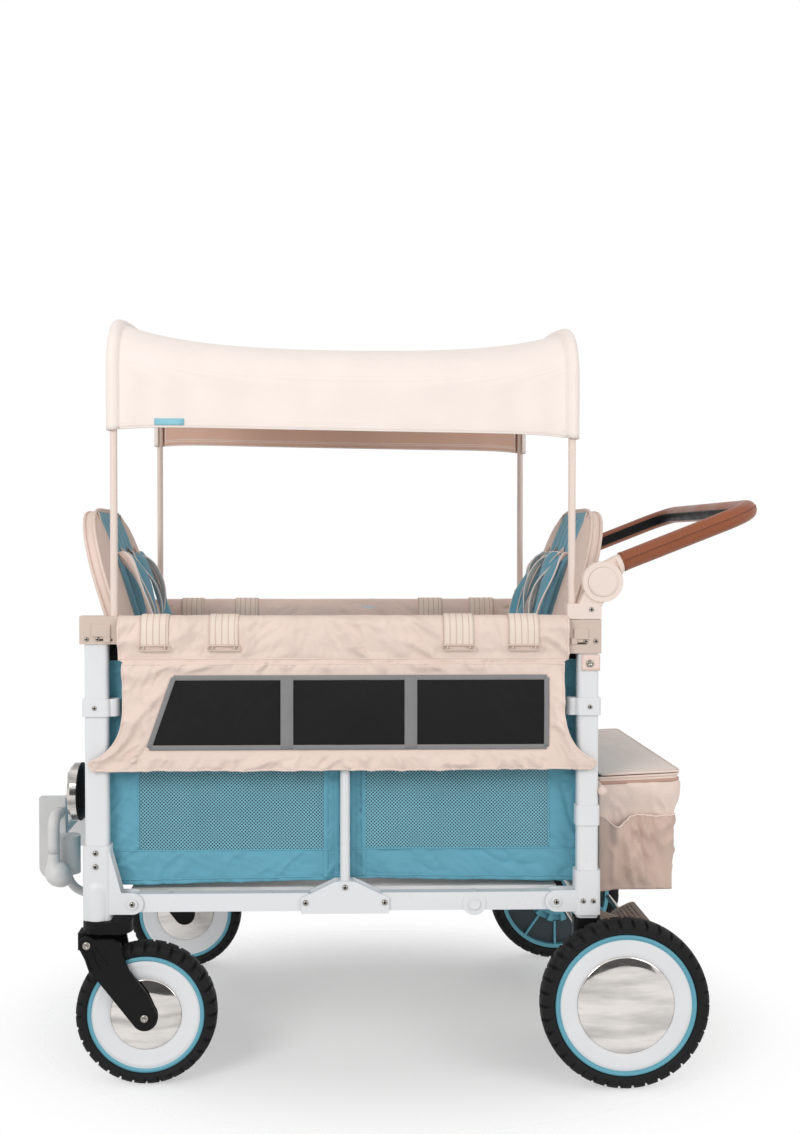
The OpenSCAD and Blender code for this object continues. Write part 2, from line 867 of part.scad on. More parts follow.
// Profile of the cloth's inner face from the hem, up and over the rail, as distance out and height
function flap_profile() = let (roll_mid = (flap_in + flap_roll_in) / 2, roll = flap_in - roll_mid) concat(
  [for (i = [0:6]) [flap_in, mix(flap_hem_z, upper_z + 19, i / 6)]],
  [for (a = [45, 90, 135]) [roll_mid + roll * cos(a) * 1.05, upper_z + 19 + (flap_top - upper_z - 19) * sin(a)]],
  [[flap_roll_in, upper_z + 18], [flap_roll_in, upper_z - 12]]);
// Way that each profile point moves outwards by the cloth's thickness
function flap_push() = concat([for (i = [0:6]) [1, 0]], [for (a = [45, 90, 135]) [cos(a), sin(a)]],
  [[-1, 0], [-1, 0]]);

module flap() {
  nu = 20;
  profile = flap_profile();
  push = flap_push();
  nv = len(profile) - 1;
  inner = [for (j = [0:nv], i = [0:nu])
    let (p = profile[j], x = flap_reach(p[1]) * (2 * i / nu - 1))
    [x, -p[0] - flap_fold(x, p[1]), p[1]]];
  outer = [for (j = [0:nv], i = [0:nu])
    let (p = profile[j] + push[j] * flap_t, x = flap_reach(profile[j][1]) * (2 * i / nu - 1))
    [x, -p[0] - flap_fold(x, profile[j][1]), p[1]]];
  closed_sheet(outer, inner, nu, nv);
}

module side_flaps() {
  color(cream) placed() both_sides() flap();
}

// Push handle

module handle_hubs() {
  block_h = 28;
  clamp_top = rear_bracket_high + block_h;
  neck_y = hub_face;
  neck_t = 14;
  block_in = rear_pole_x - socket_edge;
  block_out = rear_leg_x + rear_leg_w / 2 + 3;
  plug_w = rear_leg_w - 2 * leg_wall - 2 * seat_gap;
  plug_d = leg_d - 2 * leg_wall - 2 * seat_gap;
  color(beige) placed() both_sides() {
    difference() {
      union() {
        translate([block_in, bracket_in, rear_bracket_high + 1])
          cube([block_out - block_in, bracket_d, clamp_top - rear_bracket_high - 1]);
        plate(neck_y, neck_t) strip([rear_leg_x, clamp_top - 8], [hub_x, hub_z], rear_leg_w);
        bar_y(hub_x, hub_z, 2 * hub_r, hub_face, hub_face + hub_t);
      }
      translate([0, 0, rear_bracket_high]) linear_extrude(leg_top + seat_gap - rear_bracket_high)
        leg_hole(rear_leg_x, rear_leg_w);
      translate([rear_pole_x, half_track, rear_bracket_high])
        cylinder(d = pole_d + 2 * run, h = clamp_top + 40 - rear_bracket_high);
      bar_y(hub_x, hub_z, button_d + 0.6, hub_face + hub_t - button_t, hub_face + hub_t + 1);
    }
    translate([rear_leg_x, half_track, upper_z - 10])
      linear_extrude(leg_top + 1 - upper_z + 10) round_box(plug_w, plug_d, 6.5);
    bar_y(hub_x, hub_z, hub_pin_d, arm_y - ring_t / 2 - 2, hub_face + 2);
  }
}

module hub_button() {
  low = hub_face + hub_t - button_t + button_out;
  color(beige) placed() {
    bar_y(hub_x, hub_z, button_d, low, low + button_t - 1);
    bar_y(hub_x, hub_z, button_d - 5, low + button_t - 1, low + button_t);
  }
}

module handle_button_left() {
  left_side() hub_button();
}

module handle_button_right() {
  hub_button();
}

// Draws children in the handle's own plane: X along the arms, Y across
module in_handle() {
  placed() translate([hub_x, 0, hub_z]) rotate([0, -handle_tilt, 0]) children();
}

// Straight arms, bent corners and crossbar of the handle from a start along the arms
module handle_path(start) {
  corner_x = handle_len - handle_bend;
  corner_y = arm_y - handle_bend;
  both_sides() {
    translate([start, arm_y, arm_lift]) rotate([0, 90, 0]) linear_extrude(corner_x - start) children();
    translate([corner_x, corner_y, arm_lift]) rotate_extrude(angle = 90)
      translate([handle_bend, 0]) children();
  }
  translate([handle_len, corner_y, arm_lift]) rotate([90, 0, 0]) linear_extrude(2 * corner_y) children();
}

module push_handle() {
  color(beige) in_handle() {
    difference() {
      both_sides() {
        bar_y(0, 0, ring_d, arm_y - ring_t / 2, arm_y + ring_t / 2 - 0.5);
        hull() {
          bar_y(0, 0, ring_d - 4, arm_y - ring_t / 2, arm_y + ring_t / 2 - 0.5);
          translate([stub_len - 6, arm_y, arm_lift]) rotate([0, 90, 0]) cylinder(d = stub_d + 4, h = 6);
        }
      }
      bar_y(0, 0, hub_pin_d + 2 * run, -half_track, half_track);
      both_sides() translate([-ring_d, arm_y + ring_t / 2 - 0.5, -ring_d])
        cube([ring_d + hub_r + 4, ring_t, 2 * ring_d]);
    }
    handle_path(stub_len) circle(d = handle_d);
  }
}

module handle_grip() {
  color(leather) in_handle() handle_path(stub_len + 0.3) difference() {
    circle(d = grip_d);
    circle(d = handle_d + 0.2);
  }
}

// Rear axle, its housings and the brake

module axle_housings() {
  block_low = rear_leg_bottom - 12;
  block_high = rear_foot_base - 6;
  block_w = rear_leg_w + 10;
  axle_boss = 22;
  color(black) placed() both_sides() difference() {
    union() {
      translate([rear_leg_x, half_track, block_low])
        linear_extrude(block_high - block_low) round_box(block_w, leg_d + 5, 9);
      plate(housing_in, housing_t) {
        translate([rear_axle_x, rear_axle_z]) circle(axle_boss);
        translate([brake_x, brake_z]) circle(brake_shaft_d / 2 + 8);
        polygon([[rear_leg_x - block_w / 2, block_high], [rear_leg_x + block_w / 2, block_high],
          [rear_axle_x + axle_boss * 0.9, rear_axle_z + axle_boss * 0.44],
          [rear_axle_x - axle_boss * 0.7, rear_axle_z - axle_boss * 0.71],
          [brake_x - brake_shaft_d / 2 - 8, brake_z]]);
      }
    }
    translate([0, 0, rear_leg_bottom - seat_gap]) linear_extrude(block_high) leg_hole(rear_leg_x, rear_leg_w);
    bar_y(rear_axle_x, rear_axle_z, rear_axle_d + 2 * seat_gap, housing_in - 1, leg_out + 20);
    bar_y(brake_x, brake_z, brake_shaft_d + 2 * run, housing_in - 1, leg_out + 20);
  }
}

module rear_axle() {
  axle_end = rear_wheel_y + 11;
  color(steel) placed() bar_y(rear_axle_x, rear_axle_z, rear_axle_d, -axle_end, axle_end);
}

// Cross shaft with a lever and a locking pin at each rear wheel, and the foot bar behind it
module brake_shaft() {
  pin_z = rear_axle_z + brake_free_r;
  pin_end = rear_wheel_y - rear_wheel_w / 2 + 9;
  color(steel) placed() {
    bar_y(brake_x, brake_z, brake_shaft_d, -lever_y - lever_t / 2, lever_y + lever_t / 2);
    bar_y(foot_bar_x, foot_bar_z, foot_bar_d, -foot_bar_half, foot_bar_half);
    both_sides() {
      plate(lever_y, lever_t) strip([brake_x, brake_z], [rear_axle_x, pin_z], 18);
      bar_y(rear_axle_x, pin_z, brake_pin_d, lever_y + 1, pin_end);
    }
  }
}

module brake_pedal() {
  arm_d = 16;
  clamp_w = 36;
  pad_w = 170;
  pad_l = 55;
  pad_t = 16;
  pad_tilt = 26;
  pad_back = 8;
  rib_count = 6;
  rib_w = 6;
  rib_pitch = pad_l * 0.86 / rib_count;
  arm = [foot_bar_x - brake_x, foot_bar_z - brake_z];
  color(taupe) placed() difference() {
    union() {
      bar_y(brake_x, brake_z, brake_shaft_d + 14, -clamp_w / 2, clamp_w / 2);
      translate([brake_x, 0, brake_z]) rotate([0, 90 - atan2(arm[1], arm[0]), 0])
        cylinder(d = arm_d, h = norm(arm));
      translate([foot_bar_x, 0, foot_bar_z]) rotate([0, -pad_tilt, 0]) translate([pad_back, 0, 0]) {
        translate([0, 0, -pad_t / 2]) linear_extrude(pad_t) round_box(pad_l, pad_w, 14);
        for (i = [0:rib_count - 1])
          translate([(i - (rib_count - 1) / 2) * rib_pitch - rib_w / 2, -pad_w * 0.43, pad_t / 2 - 1])
            cube([rib_w, pad_w * 0.86, 3]);
      }
    }
    bar_y(brake_x, brake_z, brake_shaft_d + 2 * seat_gap, -clamp_w, clamp_w);
    bar_y(foot_bar_x, foot_bar_z, foot_bar_d + 2 * seat_gap, -pad_w, pad_w);
  }
}

// Rear basket and its lid

module basket() {
  front_x = basket_x;
  mid = front_x + basket_len / 2;
  base_z = basket_top - basket_depth;
  loop_r = bar_d / 2 + 0.3;
  color(cream) placed() {
    difference() {
      translate([mid, 0, base_z]) linear_extrude(basket_depth)
        round_box(basket_len, 2 * basket_half, 16);
      translate([mid, 0, base_z + basket_wall]) linear_extrude(basket_depth)
        round_box(basket_len - 2 * basket_wall, 2 * (basket_half - basket_wall), 12);
    }
    both_sides() difference() {
      union() {
        bar_y(basket_bar_x, basket_bar_z, 2 * (loop_r + loop_t), loop_y, loop_y + loop_w);
        translate([basket_bar_x, loop_y, basket_bar_z - 10])
          cube([front_x + 1 - basket_bar_x, loop_w, 20]);
      }
      bar_y(basket_bar_x, basket_bar_z, 2 * loop_r, loop_y - 1, loop_y + loop_w + 1);
    }
  }
}

module basket_lid() {
  lid_t = 6;
  over = 2;
  corner = 17;
  lid_z = basket_top + 0.3;
  bead_end = basket_half - corner;
  color(cream) placed() {
    translate([basket_x + basket_len / 2, 0, lid_z])
      linear_extrude(lid_t) round_box(basket_len + over, 2 * basket_half + over, corner);
    bar_y(basket_x - over / 2, lid_z + lid_t / 2, lid_t, -bead_end, bead_end);
  }
}

// Casters

module caster_head() {
  cap_d = 2 * fork_in - 1.5;
  cap_h = 22;
  cap_run = 35;
  block_w = 38;
  block_low = sus_z - 14;
  color(black) placed() difference() {
    union() {
      hull() for (dx = [0, cap_run])
        translate([caster_x + dx, half_track, head_top - cap_h]) cylinder(d = cap_d, h = cap_h);
      translate([caster_x, half_track, head_top - 1]) cylinder(d = stem_d, h = 37);
      translate([sus_x - block_w / 2, half_track - head_half, block_low])
        cube([block_w, 2 * head_half, head_top - cap_h + 1 - block_low]);
    }
    bar_y(sus_x, sus_z, pin_d + 2 * run, half_track - head_half - 1, half_track + head_half + 1);
  }
}

module caster_head_left() {
  left_side() caster_head();
}

module caster_head_right() {
  caster_head();
}

// Fork that carries a front wheel and swings on the caster head
module caster_fork() {
  pivot_r = 15;
  boss_r = 23;
  arm_low = 24;
  arm_high = 30;
  cheek_run = 34;
  cheek_rise = 48;
  spacer_d = 26;
  neck = head_half + 0.5;
  arm = [front_axle_x - sus_x, front_axle_z - sus_z];
  arm_len = norm(arm);
  color(black) placed() translate([0, half_track, 0]) {
    for (side = [0, 1]) mirror([0, side, 0]) {
      plate(fork_in, fork_t) translate([sus_x, sus_z]) rotate(atan2(arm[1], arm[0])) {
        circle(pivot_r);
        translate([arm_len, 0]) circle(boss_r);
        polygon([[0, -pivot_r], [arm_len * 0.28, -arm_low], [arm_len, -boss_r], [arm_len, boss_r],
          [arm_len * 0.8, arm_high], [arm_len * 0.5, arm_high], [cheek_run * 1.6, cheek_rise * 0.78],
          [cheek_run, cheek_rise], [cheek_run * 0.6, cheek_rise * 0.86], [0, pivot_r]]);
      }
      bar_y(sus_x, sus_z, spacer_d, neck, fork_in + 1);
    }
    bar_y(sus_x, sus_z, pin_d, -fork_in - 1, fork_in + 1);
    bar_y(front_axle_x, front_axle_z, front_axle_d, -fork_in - 1, fork_in + 1);
  }
}

module caster_fork_left() {
  left_side() caster_fork();
}

module caster_fork_right() {
  caster_fork();
}

// Wheels: profiles give radius and distance out from the wheel's middle plane

// Tyre section with round shoulders and sidewalls that narrow towards the rim
module tyre_profile(r_out, r_in, half_w) {
  shoulder = 10;
  difference() {
    union() {
      translate([r_in, -half_w + 5]) square([r_out - r_in - shoulder, 2 * half_w - 10]);
      translate([(r_in + r_out) / 2 - 6, -half_w])
        square([(r_out - r_in) / 2 + 6 - shoulder, 2 * half_w]);
      translate([r_in, -half_w + shoulder]) square([r_out - r_in, 2 * half_w - 2 * shoulder]);
      for (side = [-1, 1])
        translate([r_out - shoulder, side * (half_w - shoulder)]) circle(shoulder);
    }
    translate([r_in - 50, -half_w]) square([50, 2 * half_w]);
  }
}

front_rim_r = front_wheel_d / 2 - 22;
rear_rim_r = rear_wheel_d / 2 - 25;

module front_tyre() {
  color(black) placed() wheel_turn(front_axle_x, half_track, front_axle_z)
    tyre_profile(front_wheel_d / 2, front_rim_r, front_wheel_w / 2);
}

module front_rim() {
  r = front_rim_r - seat_gap;
  bore = front_axle_d / 2 + run;
  half = front_wheel_w / 2;
  cap_r = 63;
  color(white) placed() wheel_turn(front_axle_x, half_track, front_axle_z)
    polygon([[bore, -half], [14, -half], [14, -8], [r - 14, -4], [r - 14, -half + 6],
      [r, -half + 6], [r, half - 6], [r - 8, half - 6], [r - 12, half - 14],
      [cap_r, half - 14], [cap_r - 2, half - 9], [cap_r * 0.6, half - 3], [cap_r * 0.3, half - 1],
      [bore, half]]);
}

module rear_tyre() {
  color(black) placed() wheel_turn(rear_axle_x, rear_wheel_y, rear_axle_z)
    tyre_profile(rear_wheel_d / 2, rear_rim_r, rear_wheel_w / 2);
}

// Rear rim with a blind bore for the axle and a ring of brake slots on its inner side
module rear_rim() {
  r = rear_rim_r - seat_gap;
  bore = rear_axle_d / 2 + run;
  half = rear_wheel_w / 2;
  bore_end = 12;
  disc = -9;
  cap_r = 85;
  color(white) placed() {
    wheel_turn(rear_axle_x, rear_wheel_y, rear_axle_z)
      polygon([[bore, -half + 2], [16, -half + 2], [16, disc], [r - 8, disc + 3], [r - 8, -half + 5],
        [r, -half + 5], [r, half - 5], [r - 8, half - 5], [r - 12, half - 13],
        [cap_r + 2, half - 13], [cap_r, half - 9], [cap_r * 0.75, half - 5], [cap_r * 0.4, half - 3],
        [0, half - 2], [0, bore_end], [bore, bore_end]]);
    difference() {
      bar_y(rear_axle_x, rear_axle_z, 2 * ratchet_r, rear_wheel_y - half + 2, rear_wheel_y + disc + 1);
      bar_y(rear_axle_x, rear_axle_z, 30, rear_wheel_y - half, rear_wheel_y + disc + 1);
      for (i = [0:brake_slots - 1])
        translate([rear_axle_x, rear_wheel_y - half, rear_axle_z])
          rotate([0, -slot_phase - i * 360 / brake_slots, 0])
            translate([ratchet_root, 0, -slot_w / 2]) cube([30, half + disc, slot_w]);
    }
  }
}

module front_tyre_left() {
  left_side() front_tyre();
}

module front_tyre_right() {
  front_tyre();
}

module front_rim_left() {
  left_side() front_rim();
}

module front_rim_right() {
  front_rim();
}

module rear_tyre_left() {
  left_side() rear_tyre();
}

module rear_tyre_right() {
  rear_tyre();
}

module rear_rim_left() {
  left_side() rear_rim();
}

module rear_rim_right() {
  rear_rim();
}

// Canopy

module bow(x, drop) {
  corner_z = bow_corner_z - drop;
  joint_d = pole_d + 1.2;
  joint_h = 20;
  translate([x, 0, 0]) {
    both_sides() {
      translate([0, bow_half, pole_bottom]) cylinder(d = pole_d, h = corner_z - pole_bottom);
      translate([0, bow_in_y, corner_z]) rotate([90, 0, 90])
        rotate_extrude(angle = 90 - crown_tilt) translate([bow_corner_r, 0]) circle(d = pole_d);
      translate([0, crown_end_y, corner_z + bow_corner_r * cos(crown_tilt)])
        rotate([90 - crown_tilt, 0, 0]) cylinder(d = joint_d, h = joint_h, center = true);
      translate([0, bow_half, corner_z]) cylinder(d = joint_d, h = joint_h, center = true);
    }
    translate([0, 0, corner_z + bow_rise - crown_r]) rotate([90, 0, 90]) rotate(90 - crown_tilt)
      rotate_extrude(angle = 2 * crown_tilt) translate([crown_r, 0]) circle(d = pole_d);
  }
}

module front_bow() {
  color(beige) placed() bow(front_pole_x, 0);
}

module rear_bow() {
  color(beige) placed() bow(rear_pole_x, bow_drop);
}

// Point of the bow's own outline, pushed out by a distance, for a share 0 to 1 from hem to hem
function bow_point(share, out, drop) = let (
  corner_z = bow_corner_z - drop,
  hem_z = canopy_top - drop - hem_drop,
  s = abs(2 * share - 1),
  side = share < 0.5 ? -1 : 1,
  turn = 90 - crown_tilt,
  p = s > 0.7 ? [bow_half + out, mix(corner_z, hem_z, (s - 0.7) / 0.3)]
    : s > 0.4 ? let (a = turn * (0.7 - s) / 0.3, r = bow_corner_r + out)
      [bow_in_y + r * cos(a), corner_z + r * sin(a)]
    : let (a = crown_tilt * s / 0.4, r = crown_r + out)
      [r * sin(a), corner_z + bow_rise - crown_r + r * cos(a)])
  [side * p[0], p[1]];

// Share of the full sag at a place along the canopy, nothing over the bows
function sag_share(x) = let (half = (rear_pole_x - front_pole_x) / 2, mid = (rear_pole_x + front_pole_x) / 2,
  reach = 110, d = min(half, abs(x - mid))) 1 - cosh(d / reach) / cosh(half / reach);

function canopy_point(u, share, out) = let (
  x = mix(front_pole_x - cloth_end, rear_pole_x + cloth_end, u),
  drop = bow_drop * u,
  sag = sag_share(x),
  p = bow_point(share, out, drop),
  hem_z = canopy_top - drop - hem_drop,
  lift = (p[1] - hem_z) / hem_drop)
  [x, p[0] * (1 - 0.03 * sag), p[1] - canopy_sag * sag * lift];

// Places of the cloth's rows along X, closer together near the bows
function canopy_row(i, nu) = 0.5 - 0.5 * cos(180 * i / nu);

module canopy() {
  nu = 18;
  nv = 40;
  in_out = pole_d / 2 + cloth_gap;
  outer = [for (j = [0:nv], i = [0:nu]) canopy_point(canopy_row(i, nu), j / nv, in_out + cloth_t)];
  inner = [for (j = [0:nv], i = [0:nu]) canopy_point(canopy_row(i, nu), j / nv, in_out)];
  color(cream) placed() closed_sheet(outer, inner, nu, nv);
}

// Seats and backrests

// Height rows of a backrest: even below the round corners, then round the corners
function back_row(j, nv) = let (low = 9, straight = back_len - back_corner_r)
  j <= low ? mix(back_start, straight, j / low)
  : straight + back_corner_r * sin(90 * (j - low) / (nv - low));
function back_width(w) = let (over = max(0, w - (back_len - back_corner_r)))
  back_half - back_corner_r + sqrt(max(0, back_corner_r * back_corner_r - over * over));
// Share of the full swell: drawn in at the edges
function swell(u, v) = (1 - pow(abs(u), 5)) * (1 - pow(abs(2 * v - 1), 6));

module backrest_pad() {
  nu = 24;
  nv = 15;
  half = back_pad / 2;
  mid = back_face - half;
  inner = [for (j = [0:nv], i = [0:nu]) let (
    w = back_row(j, nv),
    u = 2 * i / nu - 1,
    full = back_edge + (1 - back_edge) * swell(u, (w - back_start) / (back_len - back_start)),
    groove = (i % channel_every == 0 && i > 3 && i < nu - 3 && j > 0 && j < nv) ? channel_depth : 0)
    [mid + half * full - groove, u * back_width(w), w]];
  outer = [for (j = [0:nv], i = [0:nu]) let (
    w = back_row(j, nv),
    u = 2 * i / nu - 1,
    full = back_edge + (1 - back_edge) * swell(u, (w - back_start) / (back_len - back_start)))
    [mid - half * full, u * back_width(w), w]];
  closed_sheet(inner, outer, nu, nv);
}

// Backrest of the front end with its hinge lugs, in its own lean
module backrest() {
  lug_w = 12;
  lug_y = hanger_y - 2 - lug_w;
  lug_d = pin_d + 12;
  strap_y = back_half - 30;
  translate([-back_x, 0, back_z]) rotate([0, -back_lean, 0]) {
    backrest_pad();
    both_sides() difference() {
      union() {
        bar_y(0, 0, lug_d, lug_y, lug_y + lug_w);
        translate([-6, strap_y, -lug_d / 2]) cube([6, lug_y + lug_w - strap_y, lug_d / 2 + 4]);
        translate([-6, strap_y, -lug_d / 2]) cube([6, 24, lug_d / 2 + back_start]);
      }
      bar_y(0, 0, pin_d + 2 * run, lug_y - 1, lug_y + lug_w + 1);
    }
  }
}

module front_seat_back() {
  color(blue) placed() backrest();
}

module rear_seat_back() {
  color(blue) placed() mirror([1, 0, 0]) backrest();
}

module seat_cushion() {
  nu = 10;
  nv = 16;
  x0 = seat_clear;
  half_y = seat_half - 8;
  edge_drop = 10;
  top = [for (j = [0:nv], i = [0:nu]) let (
    u = 2 * i / nu - 1,
    v = 2 * j / nv - 1,
    s = (1 - pow(abs(u), 4)) * (1 - pow(abs(v), 6)),
    groove = (j == nv / 2 && i > 0 && i < nu) ? 5 : 0)
    [mix(x0, seat_len, i / nu), v * half_y, -edge_drop * (1 - s) - groove]];
  base = [for (j = [0:nv], i = [0:nu])
    [mix(x0, seat_len, i / nu), (2 * j / nv - 1) * half_y, -seat_pad]];
  closed_sheet(top, base, nu, nv);
}

// Seat of the front end: a board with hinge lugs and the cushion on it
module seat() {
  lug_w = 12;
  lug_y = hanger_y - 2 - lug_w;
  lug_d = pin_d + 12;
  board_top = -seat_pad - seat_gap;
  translate([-seat_x, 0, seat_z]) {
    seat_cushion();
    difference() {
      union() {
        translate([-lug_d / 2, -seat_half, board_top - seat_board_t])
          cube([seat_len + lug_d / 2 - 4, 2 * seat_half, seat_board_t]);
        both_sides() {
          bar_y(0, 0, lug_d, lug_y, lug_y + lug_w);
          translate([-lug_d / 2, lug_y, board_top - 1]) cube([lug_d, lug_w, -board_top + 1]);
        }
      }
      both_sides() bar_y(0, 0, pin_d + 2 * run, lug_y - 1, lug_y + lug_w + 1);
    }
  }
}

module front_seat() {
  color(blue) placed() seat();
}

module rear_seat() {
  color(blue) placed() mirror([1, 0, 0]) seat();
}

// Pull handle: two upright plates joined by tubes, with a bent rod and a bulb on each side

module pull_handle() {
  top = pull_rise;
  rod_top = top - 22;
  rod_x = 3;
  bulb_step = [8, 4];
  cross_x = -2;
  color(white) placed() translate([pull_x, 0, pull_z]) {
    both_sides() {
      difference() {
        plate(slab_y, slab_t) {
          translate([-slab_front, -2]) square([slab_front + slab_back, top + 2]);
          translate([(slab_back - slab_front) / 2, -2]) circle((slab_front + slab_back) / 2);
        }
        bar_y(0, 0, pull_pin_d + 2 * run, slab_y - 1, slab_y + slab_t + 1);
      }
      bar_y(rod_x, rod_top, rod_d, slab_y + slab_t - 2, rod_y - rod_bend);
      translate([rod_x, rod_y - rod_bend, rod_top - rod_bend]) rotate([90, 0, 90])
        rotate_extrude(angle = 90) translate([rod_bend, 0]) circle(d = rod_d);
      translate([rod_x, rod_y, 0]) cylinder(d = rod_d, h = rod_top - rod_bend);
      translate([rod_x + bulb_step[0], rod_y, bulb_step[1]]) sphere(d = bulb_d);
    }
    for (z = [top * 0.45, top * 0.88])
      bar_y(cross_x, z, tube_d, -slab_y - 2, slab_y + 2);
  }
}

front_legs();
front_corner_brackets();
front_feet();
front_crossbars();
pull_brackets();
front_seat_hangers();
front_wall();
front_side_panels();
lamp_bezels();
lamp_lenses();
front_fasteners();
front_lower_rails();
front_floor_board();
middle_posts();
center_brackets();
side_flaps();
middle_fasteners();
rear_lower_rails();
rear_floor_board();
front_top_rails();
rear_top_rails();
rear_legs();
rear_corner_brackets();
rear_feet();
rear_crossbars();
rear_seat_hangers();
rear_wall();
rear_side_panels();
handle_hubs();
axle_housings();
rear_axle();
basket();
rear_fasteners();
push_handle();
handle_grip();
handle_button_left();
handle_button_right();
brake_shaft();
brake_pedal();
basket_lid();
caster_head_left();
caster_head_right();
caster_fork_left();
caster_fork_right();
front_tyre_left();
front_tyre_right();
front_rim_left();
front_rim_right();
rear_tyre_left();
rear_tyre_right();
rear_rim_left();
rear_rim_right();
front_bow();
rear_bow();
canopy();
front_seat_back();
rear_seat_back();
front_seat();
rear_seat();
pull_handle();
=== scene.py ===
import json
import math

import bmesh
import bpy
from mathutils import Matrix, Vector, noise as ripple_field


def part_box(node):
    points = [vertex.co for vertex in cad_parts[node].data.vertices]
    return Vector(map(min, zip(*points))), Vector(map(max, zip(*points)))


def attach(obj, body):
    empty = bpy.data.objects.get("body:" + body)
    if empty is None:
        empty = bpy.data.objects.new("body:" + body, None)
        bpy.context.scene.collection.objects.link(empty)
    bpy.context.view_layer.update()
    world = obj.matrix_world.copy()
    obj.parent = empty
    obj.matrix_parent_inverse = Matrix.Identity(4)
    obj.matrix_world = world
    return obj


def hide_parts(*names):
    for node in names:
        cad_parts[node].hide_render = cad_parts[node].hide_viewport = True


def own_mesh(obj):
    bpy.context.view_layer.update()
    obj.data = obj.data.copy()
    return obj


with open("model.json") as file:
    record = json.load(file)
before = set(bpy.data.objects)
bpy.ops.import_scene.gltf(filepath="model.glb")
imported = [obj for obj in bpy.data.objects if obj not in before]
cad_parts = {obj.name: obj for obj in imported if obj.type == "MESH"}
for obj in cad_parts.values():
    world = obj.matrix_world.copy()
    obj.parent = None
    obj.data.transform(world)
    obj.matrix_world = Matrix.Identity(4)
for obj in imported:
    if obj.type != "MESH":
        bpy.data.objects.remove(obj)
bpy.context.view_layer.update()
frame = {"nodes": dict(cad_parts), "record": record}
NODE = frame["nodes"]

# Lengths are millimetres, with X measured from the centre posts
post_low, post_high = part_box("middle_posts")
MID = (post_low.x + post_high.x) / 2


SIDES = (("left", -1), ("right", 1))


def place(p):
    return Vector((MID + p[0] / 1000, p[1] / 1000, p[2] / 1000))


def mix(a, b, t):
    return a + (b - a) * t


def steps(a, b, count):
    """Even steps from a to b, both included."""
    return [mix(a, b, k / count) for k in range(count + 1)]


def turn(count):
    """Cosine and sine at each step of a full turn."""
    return [(math.cos(2 * math.pi * k / count), math.sin(2 * math.pi * k / count)) for k in range(count)]


def ease(t):
    t = min(1.0, max(0.0, t))
    return t * t * (3 - 2 * t)


def wave(a, b):
    """Smooth uneven ripple between -1 and 1 from two coordinates."""
    return (math.sin(a * 1.7 + 2.1 * math.sin(b * 1.3)) + math.sin(a * 0.73 - b * 1.9 + 1.2)
            + math.sin(b * 2.7 + 1.4 * math.sin(a * 0.9))) / 3


def creases(x, z, size, lean, stretch=2.6):
    """Crisp ridges between 0 and 1, about size mm apart, that run long across the lean direction."""
    c, s = math.cos(lean), math.sin(lean)
    a = (c * x + s * z) / size
    b = (c * z - s * x) / (size * stretch)
    warp = ripple_field.noise((a * 0.45 + 7.3, b * 0.7, 3.1))
    height = ripple_field.noise((a + 1.1 * warp, b + 0.5 * warp, 0.4))
    return max(0.0, 1 - abs(height) * 2.4) ** 1.5


# Materials

def srgb(r, g, b):
    """Linear colour from 0 to 255 display values."""
    def one(c):
        c = c / 255
        return c / 12.92 if c <= 0.04045 else ((c + 0.055) / 1.055) ** 2.4
    return (one(r), one(g), one(b))


def node(tree, kind, inputs=None, **settings):
    made = tree.nodes.new(kind)
    for key, value in settings.items():
        setattr(made, key, value)
    for key, value in (inputs or {}).items():
        if isinstance(value, bpy.types.NodeSocket):
            tree.links.new(value, made.inputs[key])
        else:
            made.inputs[key].default_value = value
    return made


def math_node(tree, op, a, b=0.0):
    return node(tree, "ShaderNodeMath", {0: a, 1: b}, operation=op).outputs[0]


def start(name, rough, sockets=None):
    mat = bpy.data.materials.new(name)
    mat.use_nodes = True
    tree = mat.node_tree
    shader = tree.nodes["Principled BSDF"]
    shader.inputs["Roughness"].default_value = rough
    for key, value in (sockets or {}).items():
        shader.inputs[key].default_value = value
    place_node = node(tree, "ShaderNodeTexCoord")
    return mat, tree, shader, place_node.outputs["Object"]


def noise(tree, where, scale, detail=3.0, rough=0.55):
    inputs = {"Vector": where, "Scale": scale, "Detail": detail, "Roughness": rough}
    return node(tree, "ShaderNodeTexNoise", inputs).outputs["Fac"]


def bands(tree, where, scale, direction):
    made = node(tree, "ShaderNodeTexWave", {"Vector": where, "Scale": scale}, wave_type="BANDS",
                bands_direction=direction)
    return made.outputs["Fac"]


def tint(tree, share, low, high):
    """Colour between two, each a colour or a node's output, by a share."""
    ends = {}
    for key, end in (("A", low), ("B", high)):
        ends[key] = end if isinstance(end, bpy.types.NodeSocket) else (*end, 1)
    return node(tree, "ShaderNodeMix", {"Factor": share, **ends}, data_type="RGBA").outputs["Result"]


def mottle(tree, share, color, low, high):
    """Colour made darker and lighter by a share."""
    return tint(tree, share, *(tuple(min(1.0, c * times) for c in color) for times in (low, high)))


def remap(tree, value, low, high, to_low=0.0, to_high=1.0, **settings):
    spans = {"Value": value, "From Min": low, "From Max": high, "To Min": to_low, "To Max": to_high}
    return node(tree, "ShaderNodeMapRange", spans, **settings).outputs["Result"]


def weigh(tree, a, b, weight_a, weight_b):
    parts = [math_node(tree, "MULTIPLY", each, weight) for each, weight in ((a, weight_a), (b, weight_b))]
    return math_node(tree, "ADD", *parts)


def bump(tree, shader, height, strength, distance, before=None):
    made = node(tree, "ShaderNodeBump", {"Height": height, "Strength": strength, "Distance": distance})
    if before is not None:
        tree.links.new(before, made.inputs["Normal"])
    tree.links.new(made.outputs["Normal"], shader.inputs["Normal"])
    return made.outputs["Normal"]


def dress(tree, shader, color, rough_share, low, high):
    """Links a colour, and a roughness between low and high."""
    tree.links.new(color, shader.inputs["Base Color"])
    tree.links.new(remap(tree, rough_share, 0.3, 0.7, low, high), shader.inputs["Roughness"])


